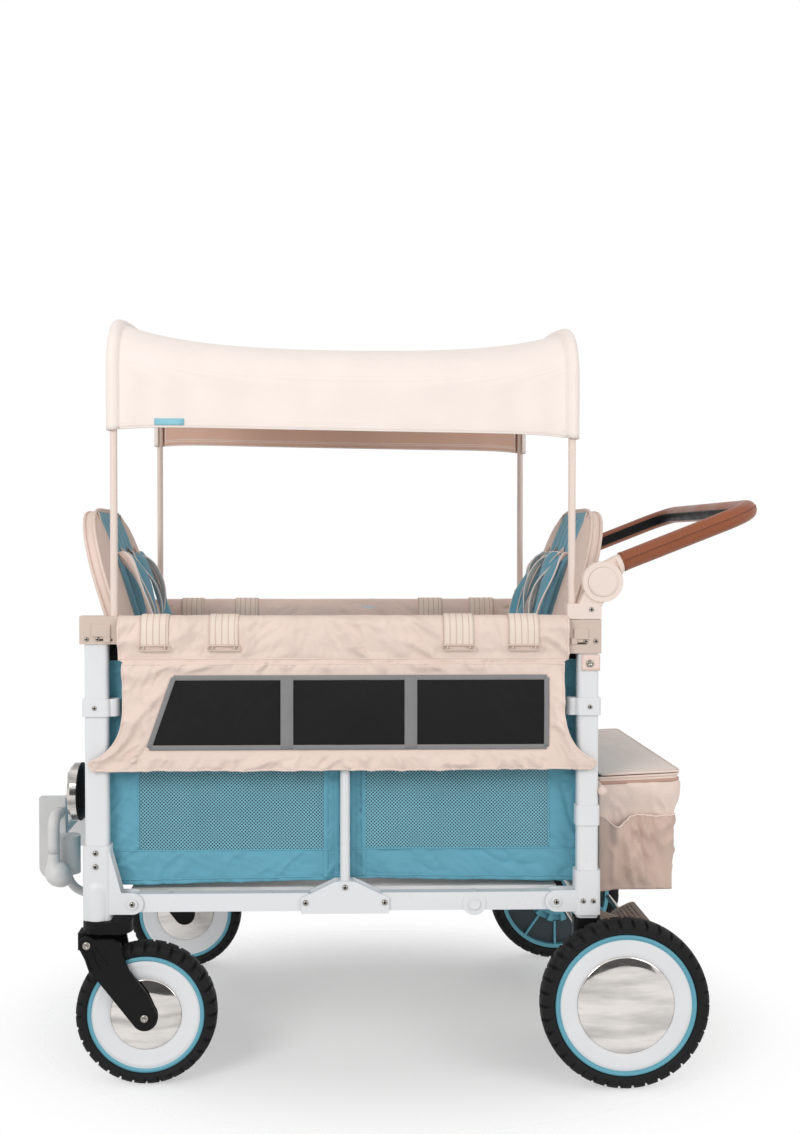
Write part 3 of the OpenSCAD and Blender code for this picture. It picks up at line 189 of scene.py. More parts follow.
def threads(tree, where, pitch):
    """Height of a plain weave: crossed threads on any face that lies near an axis plane."""
    x, y, z = (bands(tree, where, 2 * math.pi / (20 * pitch), direction) for direction in "XYZ")
    return math_node(tree, "MULTIPLY", math_node(tree, "ADD", math_node(tree, "ADD", x, y), z), 1 / 3)


def fabric(name, color, pitch=0.0016, shine=0.2, crease=0.35, rough=0.82, gloss=0.5):
    mat, tree, shader, where = start(name, rough, {"Sheen Weight": shine, "Sheen Roughness": 0.45,
                                                   "Specular IOR Level": gloss})
    weave = threads(tree, where, pitch)
    broad = noise(tree, where, 7.0, 4.0)
    share = weigh(tree, weave, broad, 0.35, 0.75)
    dress(tree, shader, mottle(tree, share, color, 0.86, 1.08), broad, rough - 0.06, rough + 0.06)
    folds = noise(tree, where, 16.0, 3.0, 0.5)
    first = bump(tree, shader, folds, crease, 0.006)
    bump(tree, shader, weave, 0.3, 0.0004, first)
    return mat


def perforated(name, thread_color, hole_shade_color, pitch=0.0062):
    """Knitted mesh: staggered holes between pale threads, the holes painted dark as shade seen through them.
    """
    mat, tree, shader, where = start(name, 0.75, {"Sheen Weight": 0.15})
    split = node(tree, "ShaderNodeSeparateXYZ", {"Vector": where})
    turn = 2 * math.pi / pitch
    across = math_node(tree, "COSINE", math_node(tree, "MULTIPLY", split.outputs["X"], turn))
    up = math_node(tree, "COSINE", math_node(tree, "MULTIPLY", split.outputs["Z"], turn))
    dots = math_node(tree, "MULTIPLY", across, up)
    open_share = remap(tree, dots, 0.02, 0.25)
    pale = mottle(tree, noise(tree, where, 9.0), thread_color, 0.85, 1.15)
    # Painted shade: the open holes take a dark colour in place of the shaded space behind the mesh
    tree.links.new(tint(tree, open_share, pale, hole_shade_color), shader.inputs["Base Color"])
    bump(tree, shader, math_node(tree, "SUBTRACT", 1.0, open_share), 0.6, 0.0012)
    return mat


def moulded(name, color, rough=0.45, grain=900.0, strength=0.12, sockets=None):
    """Moulded plastic with a fine spark-eroded grain."""
    mat, tree, shader, where = start(name, rough, sockets)
    colored = mottle(tree, noise(tree, where, 11.0, 4.0), color, 0.93, 1.05)
    dress(tree, shader, colored, noise(tree, where, 35.0), rough - 0.07, rough + 0.08)
    bump(tree, shader, noise(tree, where, grain, 2.0), strength, 0.0003)
    return mat


def painted(name, color, rough=0.3):
    """Powder-coated tube: slight orange peel under a thin gloss."""
    mat, tree, shader, where = start(name, rough, {"Coat Weight": 0.25, "Coat Roughness": 0.2})
    colored = mottle(tree, noise(tree, where, 5.0, 4.0), color, 0.95, 1.03)
    dress(tree, shader, colored, noise(tree, where, 24.0), rough - 0.05, rough + 0.1)
    bump(tree, shader, noise(tree, where, 420.0, 2.0), 0.08, 0.0004)
    return mat


def metal(name, color, rough, ripple=0.0, reflection_bands=0.0):
    mat, tree, shader, where = start(name, rough, {"Metallic": 1.0})
    broad = noise(tree, where, 14.0, 4.0)
    # Painted reflection: stretched noise darkens the base colour in bands that stand in for what the chrome
    # reflects
    if reflection_bands:
        flat = node(tree, "ShaderNodeMapping", {"Vector": where, "Scale": (1.6, 1.6, 9.0)})
        broad = remap(tree, noise(tree, flat.outputs["Vector"], 5.0, 3.0), 0.72, 0.4)
    colored = mottle(tree, broad, color, 0.92 - reflection_bands, 1.04)
    dress(tree, shader, colored, noise(tree, where, 60.0), max(0.02, rough - 0.04), rough + 0.07)
    if ripple:
        bump(tree, shader, noise(tree, where, 9.0, 2.0), ripple, 0.004)
    return mat


def hide(name, color):
    """Smooth leather: small pebbled cells, darker in the creases."""
    mat, tree, shader, where = start(name, 0.42, {"Coat Weight": 0.12, "Coat Roughness": 0.35})
    cells = node(tree, "ShaderNodeTexVoronoi", {"Vector": where, "Scale": 520.0}, feature="DISTANCE_TO_EDGE")
    pebble = math_node(tree, "MINIMUM", math_node(tree, "MULTIPLY", cells.outputs["Distance"], 4.0), 1.0)
    broad = noise(tree, where, 13.0, 5.0)
    share = weigh(tree, pebble, broad, 0.3, 0.7)
    dress(tree, shader, mottle(tree, share, color, 0.68, 1.3), broad, 0.36, 0.52)
    bump(tree, shader, pebble, 0.25, 0.0005)
    return mat


def rubber(name, color):
    mat, tree, shader, where = start(name, 0.62, {"Specular IOR Level": 0.18})
    dust = noise(tree, where, 30.0, 5.0, 0.65)
    dress(tree, shader, mottle(tree, dust, color, 0.75, 1.5), dust, 0.52, 0.76)
    bump(tree, shader, noise(tree, where, 700.0, 2.0), 0.2, 0.0004)
    return mat


def striped(name, color, line_color, pitch):
    """Webbing with woven lengthwise lines; the map's first coordinate runs across it in metres."""
    mat, tree, shader, where = start(name, 0.7, {"Sheen Weight": 0.2})
    flat = node(tree, "ShaderNodeUVMap").outputs["UV"]
    lines = bands(tree, flat, 2 * math.pi / (20 * pitch), "X")
    thin = remap(tree, lines, 0.0, 0.12, 1.0, 0.0)
    plain = mottle(tree, noise(tree, where, 20.0), color, 0.92, 1.06)
    tree.links.new(tint(tree, thin, plain, line_color), shader.inputs["Base Color"])
    first = bump(tree, shader, lines, 0.3, 0.001)
    bump(tree, shader, threads(tree, where, 0.0012), 0.3, 0.0004, first)
    return mat


def clear_lens(name):
    mat, tree, shader, where = start(name, 0.08, {"IOR": 1.49, "Transmission Weight": 0.55})
    flutes = bands(tree, where, 45.0, "Y")
    glass = tint(tree, flutes, (0.62, 0.66, 0.7), (0.9, 0.93, 0.96))
    tree.links.new(glass, shader.inputs["Base Color"])
    bump(tree, shader, flutes, 0.5, 0.0015)
    return mat


BEIGE_CLOTH = srgb(232, 211, 199)
CREAM_CLOTH = srgb(243, 231, 224)
BLUE_CLOTH = srgb(97, 164, 184)
BEIGE_PART = srgb(209, 190, 177)
DULL = {"Specular IOR Level": 0.16}
M = {
    "white": painted("white_paint", srgb(227, 228, 230)),
    "white_plastic": moulded("white_plastic", srgb(225, 226, 227), 0.4),
    "grey_plastic": moulded("pale_grey_plastic", srgb(213, 212, 211), 0.45),
    "beige_plastic": moulded("beige_plastic", BEIGE_PART, 0.48),
    "pale_beige": moulded("pale_beige_plastic", srgb(234, 217, 206), 0.48),
    "beige_pole": painted("beige_pole", srgb(232, 214, 203), 0.4),
    "black_plastic": moulded("black_plastic", srgb(16, 16, 17), 0.5, 600.0, 0.25, DULL),
    "taupe": moulded("taupe_plastic", srgb(133, 117, 106), 0.55, 500.0, 0.2),
    "beige": fabric("beige_fabric", BEIGE_CLOTH),
    "cream": fabric("cream_fabric", CREAM_CLOTH, crease=0.05),
    "lining": fabric("canopy_lining", srgb(228, 190, 170), crease=0.05),
    "pale_blue": fabric("pale_blue_tape", srgb(142, 200, 216), 0.0011, crease=0.1),
    # basket pocket: the bag's beige made darker, painted shade of its folds
    "pocket": fabric("pocket_fabric_painted_shade", srgb(208, 182, 168), crease=0.3),
    # basket lid: a lighter copy of the bag's beige, painted light on its top
    "grey_beige": fabric("lid_fabric_painted_light", srgb(236, 217, 207), crease=0.2),
    "blue": fabric("blue_fabric", BLUE_CLOTH, crease=0.45, rough=0.66, shine=0.12),
    "blue_pad": fabric("blue_pad_fabric", srgb(98, 162, 184), crease=0.2, shine=0.3),
    "mesh": perforated("blue_mesh", srgb(124, 184, 200), srgb(22, 50, 60)),
    "black_cloth": fabric("black_fabric", srgb(19, 18, 19), crease=0.5, rough=0.72, shine=0.05, gloss=0.24),
    "grey_tape": fabric("grey_binding", srgb(131, 130, 131), 0.0011, crease=0.15, rough=0.7),
    "webbing": striped("beige_webbing", srgb(233, 217, 203), srgb(203, 176, 160), 0.0112),
    "pink_tape": fabric("pale_binding", srgb(238, 214, 203), 0.0011, crease=0.1),
    "zip": striped("zip_tape", srgb(224, 190, 174), srgb(190, 152, 136), 0.0022),
    "dark_tape": fabric("dark_binding", srgb(196, 170, 156), 0.0011, crease=0.1),
    "board": fabric("floor_cover", srgb(236, 235, 233), 0.0022, crease=0.2),
    "leather": hide("brown_leather", srgb(141, 72, 33)),
    "thread": fabric("brown_thread", srgb(92, 50, 34), 0.0006),
    "tyre": rubber("tyre_rubber", srgb(25, 25, 26)),
    "rim_white": moulded("rim_white", srgb(228, 229, 231), 0.34, 700.0, 0.08),
    "rim_blue": moulded("rim_blue", srgb(98, 166, 184), 0.45),
    # the rim blue darkened: painted shade for the rear wheels' inner discs
    "rim_dark": moulded("rim_dark", srgb(46, 58, 64), 0.5),
    # chrome and lamp_chrome carry painted reflection bands in their base colour
    "chrome": metal("chrome", srgb(224, 219, 215), 0.07, 0.5, reflection_bands=0.3),
    "steel": metal("steel", srgb(158, 153, 146), 0.2),
    "dark_steel": metal("dark_steel", srgb(96, 86, 78), 0.35),
    # near-black metal in the screw recesses is painted shade
    "recess": metal("screw_recess_painted_shade", srgb(40, 36, 34), 0.5),
    "lamp_chrome": metal("lamp_chrome", srgb(206, 201, 197), 0.08, 0.5, reflection_bands=0.72),
    "lens": clear_lens("lamp_lens"),
}


# Mesh helpers

def add(name, data):
    obj = bpy.data.objects.new(name, data)
    bpy.context.scene.collection.objects.link(obj)
    return obj


def finish_piece(name, mesh, key, body, smooth=True):
    obj = add(name, mesh)
    keys = [key] if isinstance(key, str) else list(key)
    for each in keys:
        mesh.materials.append(M[each])
    if smooth:
        mesh.shade_smooth()
    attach(obj, body)
    return obj


def piece(name, points, faces, key, body, smooth=True, which=None, uv=None, turn_out=True):
    """New piece from points in millimetres; which gives each face's material by number."""
    mesh = bpy.data.meshes.new(name)
    mesh.from_pydata([place(p) for p in points], [], faces)
    if uv:
        layer = mesh.uv_layers.new(name="UVMap")
        for loop in mesh.loops:
            layer.data[loop.index].uv = uv[loop.vertex_index]
    if which:
        mesh.polygons.foreach_set("material_index", which)
    if turn_out:
        work = bmesh.new()
        work.from_mesh(mesh)
        bmesh.ops.recalc_face_normals(work, faces=work.faces)
        work.to_mesh(mesh)
        work.free()
    return finish_piece(name, mesh, key, body, smooth)


def grid_faces(rows, cols, loop_rows=False, loop_cols=False):
    faces = []
    for j in range(rows if loop_rows else rows - 1):
        low, high = j * cols, (j + 1) % rows * cols
        for i in range(cols if loop_cols else cols - 1):
            ahead = (i + 1) % cols
            faces.append((low + i, low + ahead, high + ahead, high + i))
    return faces


def grid_uv(rows):
    """Map in metres over a grid: along the first row, and along the middle column."""
    run = [0.0]
    for a, b in zip(rows[0], rows[0][1:]):
        run.append(run[-1] + (Vector(b) - Vector(a)).length / 1000)
    middle = len(rows[0]) // 2
    climb = [0.0]
    for a, b in zip(rows, rows[1:]):
        climb.append(climb[-1] + (Vector(b[middle]) - Vector(a[middle])).length / 1000)
    return [(run[i], climb[j]) for j in range(len(rows)) for i in range(len(run))]


def sheet_piece(name, rows, key, body, thick, which=None):
    """Cloth through rows of points, with a thickness in millimetres that grows inwards."""
    points = [p for row in rows for p in row]
    faces = grid_faces(len(rows), len(rows[0]))
    obj = piece(name, points, faces, key, body, which=which, uv=grid_uv(rows), turn_out=False)
    thicken(obj, thick, 0.0, True)
    return obj


def frames(path, ups, closed):
    made = []
    count = len(path)
    for i, p in enumerate(path):
        if closed:
            ahead, behind = path[(i + 1) % count], path[i - 1]
        else:
            ahead, behind = path[min(i + 1, count - 1)], path[max(i - 1, 0)]
        along = (Vector(ahead) - Vector(behind)).normalized()
        up = Vector(ups[i]) if isinstance(ups, list) else Vector(ups)
        up = (up - along * up.dot(along)).normalized()
        made.append((Vector(p), along.cross(up), up))
    return made


def sweep(path, section, ups, closed=False):
    """Points and faces of a closed section carried along a path; section offsets are side and up."""
    points = []
    for p, side, up in frames(path, ups, closed):
        points.extend(p + side * a + up * b for a, b in section)
    cols = len(section)
    faces = grid_faces(len(path), cols, loop_rows=closed, loop_cols=True)
    if not closed:
        faces.append(tuple(reversed(range(cols))))
        faces.append(tuple(range((len(path) - 1) * cols, len(path) * cols)))
    return points, faces


def ring(radius, sides):
    return [(radius * c, radius * s) for c, s in turn(sides)]


def tape(width, thick):
    """Flat webbing section with round edges."""
    w, t = width / 2, thick / 2
    return [(-w, 0), (-w + t, -t), (w - t, -t), (w, 0), (w - t, t), (-w + t, t)]


def together(parts):
    """Joins several (points, faces) into one."""
    points, faces = [], []
    for more_points, more_faces in parts:
        base = len(points)
        points.extend(more_points)
        faces.extend(tuple(base + i for i in f) for f in more_faces)
    return points, faces


def joined(name, parts, key, body, **how):
    """One piece made of several (points, faces)."""
    return piece(name, *together(parts), key, body, **how)


def thicken(obj, thick, offset=-1.0, even=False):
    """Gives a sheet a thickness in millimetres."""
    solid = obj.modifiers.new("thick", "SOLIDIFY")
    solid.thickness = thick / 1000
    solid.offset = offset
    solid.use_even_offset = even


def rim_line(grid, drop):
    """Line round the edge of a grid of points, lowered by drop."""
    edges = (grid[0], [row[-1] for row in grid], grid[-1][::-1], [row[0] for row in reversed(grid)])
    return [Vector(p) - Vector((0, 0, drop)) for line in edges for p in line[:-1]]


def smooth_path(points, count):
    """Catmull-Rom curve through the points, with count steps in each span."""
    made = []
    last = len(points) - 1
    for i in range(last):
        p = [Vector(points[min(max(i + k, 0), last)]) for k in (-1, 0, 1, 2)]
        for s in range(count):
            t = s / count
            made.append(0.5 * (2 * p[1] + (p[2] - p[0]) * t + (2 * p[0] - 5 * p[1] + 4 * p[2] - p[3]) * t * t
                               + (3 * p[1] - p[0] - 3 * p[2] + p[3]) * t ** 3))
    return made + [Vector(points[-1])]


def revolve(profile, centre, sign, segments=96):
    """Turned form about a wheel's Y axis from (radius, outward) pairs; sign is the side's."""
    x, y, z = centre
    points = [(x + r * c, y + sign * out, z + r * s) for c, s in turn(segments) for r, out in profile]
    return points, grid_faces(segments, len(profile), loop_rows=True)


HARD_EDGE = math.radians(38)


def soften(name, width, key, segments):
    """Copy of a CAD node with its hard edges rounded, shown in its place."""
    body = next(b for b, members in frame["record"]["behaviour"]["bodies"].items() if name in members)
    mesh = NODE[name].data.copy()
    mesh.materials.clear()
    work = bmesh.new()
    work.from_mesh(mesh)
    bmesh.ops.remove_doubles(work, verts=work.verts, dist=0.00002)
    bmesh.ops.dissolve_limit(work, angle_limit=math.radians(1.0), verts=work.verts, edges=work.edges)
    work.to_mesh(mesh)
    work.free()
    obj = finish_piece("soft_" + name, mesh, key, body)
    mesh.set_sharp_from_angle(angle=HARD_EDGE)
    edge = obj.modifiers.new("edge", "BEVEL")
    edge.width = width / 1000
    edge.segments = segments
    edge.limit_method = "ANGLE"
    edge.angle_limit = HARD_EDGE
    edge.harden_normals = True
    edge.use_clamp_overlap = True
    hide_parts(name)


def paint(key, *names):
    """Gives CAD nodes a finish."""
    for name in names:
        mesh = NODE[name].data
        mesh.materials.clear()
        mesh.materials.append(M[key])


# Frame, brackets and fittings from the CAD

paint("white", "front_crossbars", "rear_crossbars", "middle_posts", "front_top_rails", "rear_top_rails",
      "front_seat_hangers", "rear_seat_hangers")
paint("steel", "rear_axle", "brake_shaft")
paint("board", "front_floor_board", "rear_floor_board")
paint("beige_pole", "front_bow", "rear_bow")
paint("lamp_chrome", "lamp_bezels")
paint("lens", "lamp_lenses")
paint("leather", "handle_grip")
for edge_r, rounds, key, names in (
        (0.8, 2, "white", ("front_legs", "rear_legs")),
        (2.0, 3, "white", ("front_lower_rails", "rear_lower_rails", "center_brackets")),
        (2.0, 3, "white_plastic", ("front_feet", "rear_feet")),
        (2.5, 3, "grey_plastic", ("pull_brackets", "pull_handle")),
        (2.0, 3, "beige_plastic", ("front_corner_brackets", "rear_corner_brackets")),
        (2.0, 3, "pale_beige", ("handle_hubs", "push_handle")),
        (1.2, 3, "pale_beige", ("handle_button_left", "handle_button_right")),
        (2.5, 3, "black_plastic", ("axle_housings", "caster_fork_left", "caster_fork_right")),
        (1.2, 2, "taupe", ("brake_pedal",)),
        (3.0, 3, "black_plastic", ("caster_head_left", "caster_head_right"))):
    for each in names:
        soften(each, edge_r, key, rounds)


# Domed screws over the CAD heads

def dome(x, y, z, d, side):
    """Low domed head with a cross recess hinted by a dished middle."""
    r = d / 2
    profile = [(r, 0), (r, d * 0.12), (r * 0.92, d * 0.24), (r * 0.7, d * 0.34), (r * 0.42, d * 0.38),
               (r * 0.34, d * 0.37), (r * 0.26, d * 0.2), (0.02, d * 0.16)]
    return revolve(profile, (x, side * y, z), side, 20)


def screws(name, places, body, cad_node=None):
    """Screw heads on both sides, with painted shade in each recess."""
    parts = [dome(x, y, z, d, side) for x, y, z, d in places for side in (-1, 1)]
    points, faces = together(parts)
    # the recess faces get the near-black metal: painted shade in the hollow
    dark = [1 if k % 7 > 3 else 0 for k in range(len(faces))]
    obj = piece(name, points, faces, ("steel", "recess"), body, which=dark)
    if cad_node:
        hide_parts(cad_node)


screws("front_screws", [(-439, 318, 412, 10), (-439, 318, 388, 10), (-438, 318, 298, 7), (-453, 316, 789, 8),
                        (-434, 316, 789, 8), (-440, 317, 667.5, 8)], "front_frame", "front_fasteners")
screws("rear_screws", [(423, 318, 322, 9), (441, 318, 322, 9), (426, 316, 784, 8), (444, 316, 784, 8),
                       (436, 316, 840, 8), (434, 317, 667.5, 8)], "rear_frame", "rear_fasteners")
screws("middle_screws", [(-70, 315, 321, 10), (70, 315, 321, 10), (0, 315, 348, 10)],
       "middle", "middle_fasteners")
screws("front_pivot_screws", [(-375, 318.6, 321, 10)], "front_lower_link")
screws("rear_pivot_screws", [(375, 318.6, 321, 10)], "rear_lower_link")


# Moulded details: caster housings, ribs on the forks, rail plugs, lamp seats and the pull handle's ends

HOUSING_X, HOUSING_Y = -438, 300
HOUSING = [(24.3, 292.6), (24.6, 297), (24.6, 343), (23.4, 352), (19.5, 359.5), (12, 364), (0.1, 366)]
FORK_RIBS = (((-456, 243), (-452, 226), (-446, 208)), ((-443, 243), (-438, 226), (-430, 212)),
             ((-438, 249), (-428, 234), (-416, 219)))
FORK_FACE = 335.0
PLUG = [(10.6, 0), (10.4, 1.0), (9.4, 1.5), (8.6, 0.9), (7.8, 0.6), (0.05, 0.8)]
KNUCKLE_X, KNUCKLE_FACE, KNUCKLE_Z = 230.0, 314, 317.0
lamp_low, lamp_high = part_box("lamp_bezels")
LAMP_X = (lamp_high.x - MID) * 1000
LAMP_Y = lamp_high.y * 1000 - 53
LAMP_Z = (lamp_low.z + lamp_high.z) * 500
LAMP_SEAT = [(43.6, 0.3), (46, 1.2), (46.6, 4), (46.4, 28.5), (52.6, 35.2), (53.5, 36.6), (53.5, 38.6),
             (52.7, 39.2)]
PULL_END = [(-535, 388, 10.6), (-535, 376, 10.9), (-534.5, 370, 12), (-533, 364, 15), (-530.5, 358, 19.5),
            (-528, 350, 23), (-526.5, 343, 23.6), (-525, 336, 21.6), (-523, 329.5, 16.4), (-521.5, 325.6, 9),
            (-521, 324.4, 0.1)]
PULL_X, PULL_Y, PULL_ROD_Z, PULL_BEND = -535, 214.0, 451.0, 20.0
housings, plugs, seats, ends = [], [], [], []
for side in (-1, 1):
    stem = [(HOUSING_X + r * c, side * HOUSING_Y + r * s, z) for c, s in turn(40) for r, z in HOUSING]
    housings.append((stem, grid_faces(40, len(HOUSING), loop_rows=True)))
    plugs.append(revolve(PLUG, (KNUCKLE_X, side * KNUCKLE_FACE, KNUCKLE_Z), side, 40))
    cup = [(LAMP_X - h, side * LAMP_Y + r * c, LAMP_Z + r * s) for c, s in turn(56) for r, h in LAMP_SEAT]
    seats.append((cup, grid_faces(56, len(LAMP_SEAT), loop_rows=True)))
    rod = [(PULL_X, side * (PULL_Y - PULL_BEND - out), PULL_ROD_Z) for out in (27, 18, 9)]
    for k in range(9):
        a = math.pi / 2 * k / 8
        rod.append((PULL_X, side * (PULL_Y - PULL_BEND + PULL_BEND * math.sin(a)),
                    PULL_ROD_Z - PULL_BEND + PULL_BEND * math.cos(a)))
    rod += [(PULL_X, side * PULL_Y, z) for z in (418, 402, 386)]
    ends.append(sweep(rod, ring(10.7, 24), (1, 0, 0)))
    hook = [(x + r * c, side * PULL_Y + r * s, z) for c, s in turn(56) for x, z, r in PULL_END]
    ends.append((hook, grid_faces(56, len(PULL_END), loop_rows=True)))
joined("caster_housings", housings, "white_plastic", "front_frame")
joined("lamp_seats", seats, "black_plastic", "front_frame")
joined("pull_ends", ends, "grey_plastic", "pull_bar")
joined("knuckle_plugs", plugs, "white", "rear_lower_link")
for side_name, side in SIDES:
    ribs = []
    for line in FORK_RIBS:
        path = smooth_path([(x, side * FORK_FACE, z) for x, z in line], 6)
        ribs.append(sweep(path, ring(2.4, 8), (0, side, 0)))
    joined("fork_ribs_" + side_name, ribs, "black_plastic", "fork_" + side_name)


# Wheels

def tyre(name, centre, radius, inner, half, lugs, node_name, body):
    """Air tyre with square shoulder blocks, alternating left and right."""
    segments = lugs * 14
    edge = [(inner, half - 7), (inner + 3, half - 3), (inner + 7, half - 0.5), (radius - 10.5, half),
            (radius - 6.5, half - 1.6), (radius - 3.4, half - 4.6), (radius - 1.4, half - 9),
            (radius - 0.4, half * 0.35), (radius, 2.4)]
    section = [(r, -y) for r, y in edge] + list(reversed(edge))
    points = []
    for k, (c, s) in enumerate(turn(segments)):
        for r, y in section:
            shift = 0.5 if y > 0 else 0.0
            phase = (lugs * k / segments + shift + 0.1 * abs(y) / half) % 1.0
            cut = 1.0 if phase < 0.2 else 0.0
            shoulder = ease((r - radius + 14) / 5) * (0.0 if abs(y) < 3 else 1.0)
            depth = 4.6 * cut * shoulder
            points.append((centre[0] + (r - depth) * c, centre[1] + y * (1 - 0.11 * cut * shoulder),
                           centre[2] + (r - depth) * s))
    faces = grid_faces(segments, len(section), loop_rows=True, loop_cols=True)
    obj = piece(name, points, faces, "tyre", body)
    obj.data.set_sharp_from_angle(angle=math.radians(42))
    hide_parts(node_name)


def disc_set(prefix, centre, side, profiles, body):
    """Band, dish and cap of a wheel from their turned profiles."""
    for label, key, profile in zip(("_band", "_dish", "_cap"), ("rim_blue", "rim_white", "chrome"), profiles):
        piece(prefix + label, *revolve(profile, centre, side, 120), key, body)


FRONT_X, FRONT_Y, FRONT_R = -352, 300, 125
REAR_X, REAR_Y, REAR_R = 491, 341, 149
FRONT_DISCS = ([(103.4, 17.2), (102.9, 18.9), (99, 19.5), (95.8, 18.9), (95.2, 16.8)],
               [(95.6, 16.0), (95, 17.6), (88, 16.8), (74, 15.8), (64, 15.5), (62.8, 14.2)],
               [(63.3, 14.0), (62.8, 16.0), (60.5, 17.2), (38, 22.2), (19, 24.2), (8, 24.9), (5.2, 24.9)])
REAR_DISCS = ([(124.3, 17.2), (123.8, 18.9), (121.2, 19.6), (118.4, 18.9), (117.8, 16.8)],
              [(118.2, 16.0), (117.6, 17.6), (108, 17), (94, 16.2), (87, 15.8), (85.4, 14.4)],
              [(86, 13.8), (85.4, 15.8), (83, 17), (64, 19.8), (34, 22), (14, 22.8), (0.05, 23)])
SPOKE_LINE = ((64, 10.5), (90, 11.5), (117, 14))
SPOKE = [(-3, -2.5), (3, -2.5), (2.2, 2.5), (-2.2, 2.5)]
INNER_DISC = [(115, 7.2), (66, 8.8), (62.6, 9.2)]
FORK_BOLTS = ((FRONT_X, FRONT_R), (-452, 254))
BOLT = [(7.5, 0), (7.5, 2), (6, 4), (3, 4.6), (2.4, 3), (0.05, 2.6)]
for side_name, side in SIDES:
    centre = (FRONT_X, side * FRONT_Y, FRONT_R)
    body = "front_wheel_" + side_name
    tyre("front_tread_" + side_name, centre, FRONT_R, 102.6, 24, 32, "front_tyre_" + side_name, body)
    paint("rim_white", "front_rim_" + side_name)
    for face, mark in ((side, "outer_"), (-side, "inner_")):
        disc_set("front_" + mark + side_name, centre, face, FRONT_DISCS, body)
    centre = (REAR_X, side * REAR_Y, REAR_R)
    body = "rear_wheel_" + side_name
    tyre("rear_tread_" + side_name, centre, REAR_R, 123.6, 23, 38, "rear_tyre_" + side_name, body)
    paint("rim_blue", "rear_rim_" + side_name)
    disc_set("rear_outer_" + side_name, centre, side, REAR_DISCS, body)
    spokes = []
    for k in range(10):
        a = 2 * math.pi * (k + 0.5) / 10
        way = Vector((math.cos(a), 0, math.sin(a)))
        path = [Vector(centre) + way * r + Vector((0, -side * out, 0)) for r, out in SPOKE_LINE]
        spokes.append(sweep(path, SPOKE, (0, -side, 0)))
    joined("rear_spokes_" + side_name, spokes, "rim_blue", body, smooth=False)
    # Dark disc behind the spokes on the inner face: painted shade
    piece("rear_inner_" + side_name, *revolve(INNER_DISC, centre, -side, 96), "rim_dark", body)
    bolts = [revolve(BOLT, (x, side * FORK_FACE, z), side, 24) for x, z in FORK_BOLTS]
    joined("fork_bolts_" + side_name, bolts, "steel", "fork_" + side_name)


# Canopy

FRONT_POLE, REAR_POLE = -407.5, 403.5
BOW_HALF, BOW_CORNER_R, CROWN_TILT = 300.0, 88.0, math.radians(8)
CANOPY_TOP, BOW_DROP, HEM_DROP, CANOPY_SAG = 1380.0, 14.0, 224.0, 50.0
CLOTH_OUT, SEAM_X = 12.8, 13.0
BOW_IN_Y = BOW_HALF - BOW_CORNER_R
CROWN_END_Y = BOW_IN_Y + BOW_CORNER_R * math.sin(CROWN_TILT)
CROWN_R = CROWN_END_Y / math.sin(CROWN_TILT)
BOW_RISE = BOW_CORNER_R * math.cos(CROWN_TILT) + CROWN_R * (1 - math.cos(CROWN_TILT))
BOW_CORNER_Z = CANOPY_TOP - CLOTH_OUT - BOW_RISE


def bow_point(share, out, drop, rise):
    """Point across a bow, pushed out from its middle line; share runs from hem to hem."""
    corner_z = BOW_CORNER_Z - drop
    hem_z = CANOPY_TOP - drop - HEM_DROP + rise
    s = abs(2 * share - 1)
    side = -1 if share < 0.5 else 1
    turn = math.pi / 2 - CROWN_TILT
    if s > 0.7:
        y, z = BOW_HALF + out, mix(corner_z, hem_z, (s - 0.7) / 0.3)
    elif s > 0.4:
        a = turn * (0.7 - s) / 0.3
        y, z = BOW_IN_Y + (BOW_CORNER_R + out) * math.cos(a), corner_z + (BOW_CORNER_R + out) * math.sin(a)
    else:
        a = CROWN_TILT * s / 0.4
        y, z = (CROWN_R + out) * math.sin(a), corner_z + BOW_RISE - CROWN_R + (CROWN_R + out) * math.cos(a)
    return side * y, z


def between(x, scale):
    """0 at the bows and 1 midway, as a hanging line runs."""
    half, middle = (REAR_POLE - FRONT_POLE) / 2, (REAR_POLE + FRONT_POLE) / 2
    d = min(half, abs(x - middle))
    return 1 - math.cosh(d / scale) / math.cosh(half / scale)


def set_in(x):
    """Offset of the stretched cloth from the bows' middle line."""
    return 4.4 + 3.6 * between(x, 60)


def canopy_point(x, share, out):
    drop = BOW_DROP * (x - FRONT_POLE + 9) / (REAR_POLE - FRONT_POLE + 18)
    sag = between(x, 110)
    y, z = bow_point(share, out, drop, 10 * between(x, 50) + (16 if share > 0.5 else 0))
    lift = (z - (CANOPY_TOP - drop - HEM_DROP)) / HEM_DROP
    pull = 1.2 * sag * wave(x / 210, share * 16) * ease(lift * 4)
    return (x, y * (1 - 0.03 * sag), z - CANOPY_SAG * sag * lift + pull)


def canopy_columns():
    """Places along the canopy and offsets from the bows: a round sleeve at each end."""
    sleeve = CLOTH_OUT - 0.8
    turns = [math.radians(-80 + 235 * k / 16) for k in range(17)]
    front = [(FRONT_POLE - sleeve * math.cos(a), sleeve * math.sin(a)) for a in turns]
    rear = [(REAR_POLE + sleeve * math.cos(a), sleeve * math.sin(a)) for a in reversed(turns)]
    shares = [0.5 - 0.5 * math.cos(math.pi * k / 48) for k in range(49)]
    along = [mix(FRONT_POLE + SEAM_X, REAR_POLE - SEAM_X, share) for share in shares]
    return front + [(x, set_in(x)) for x in along] + rear


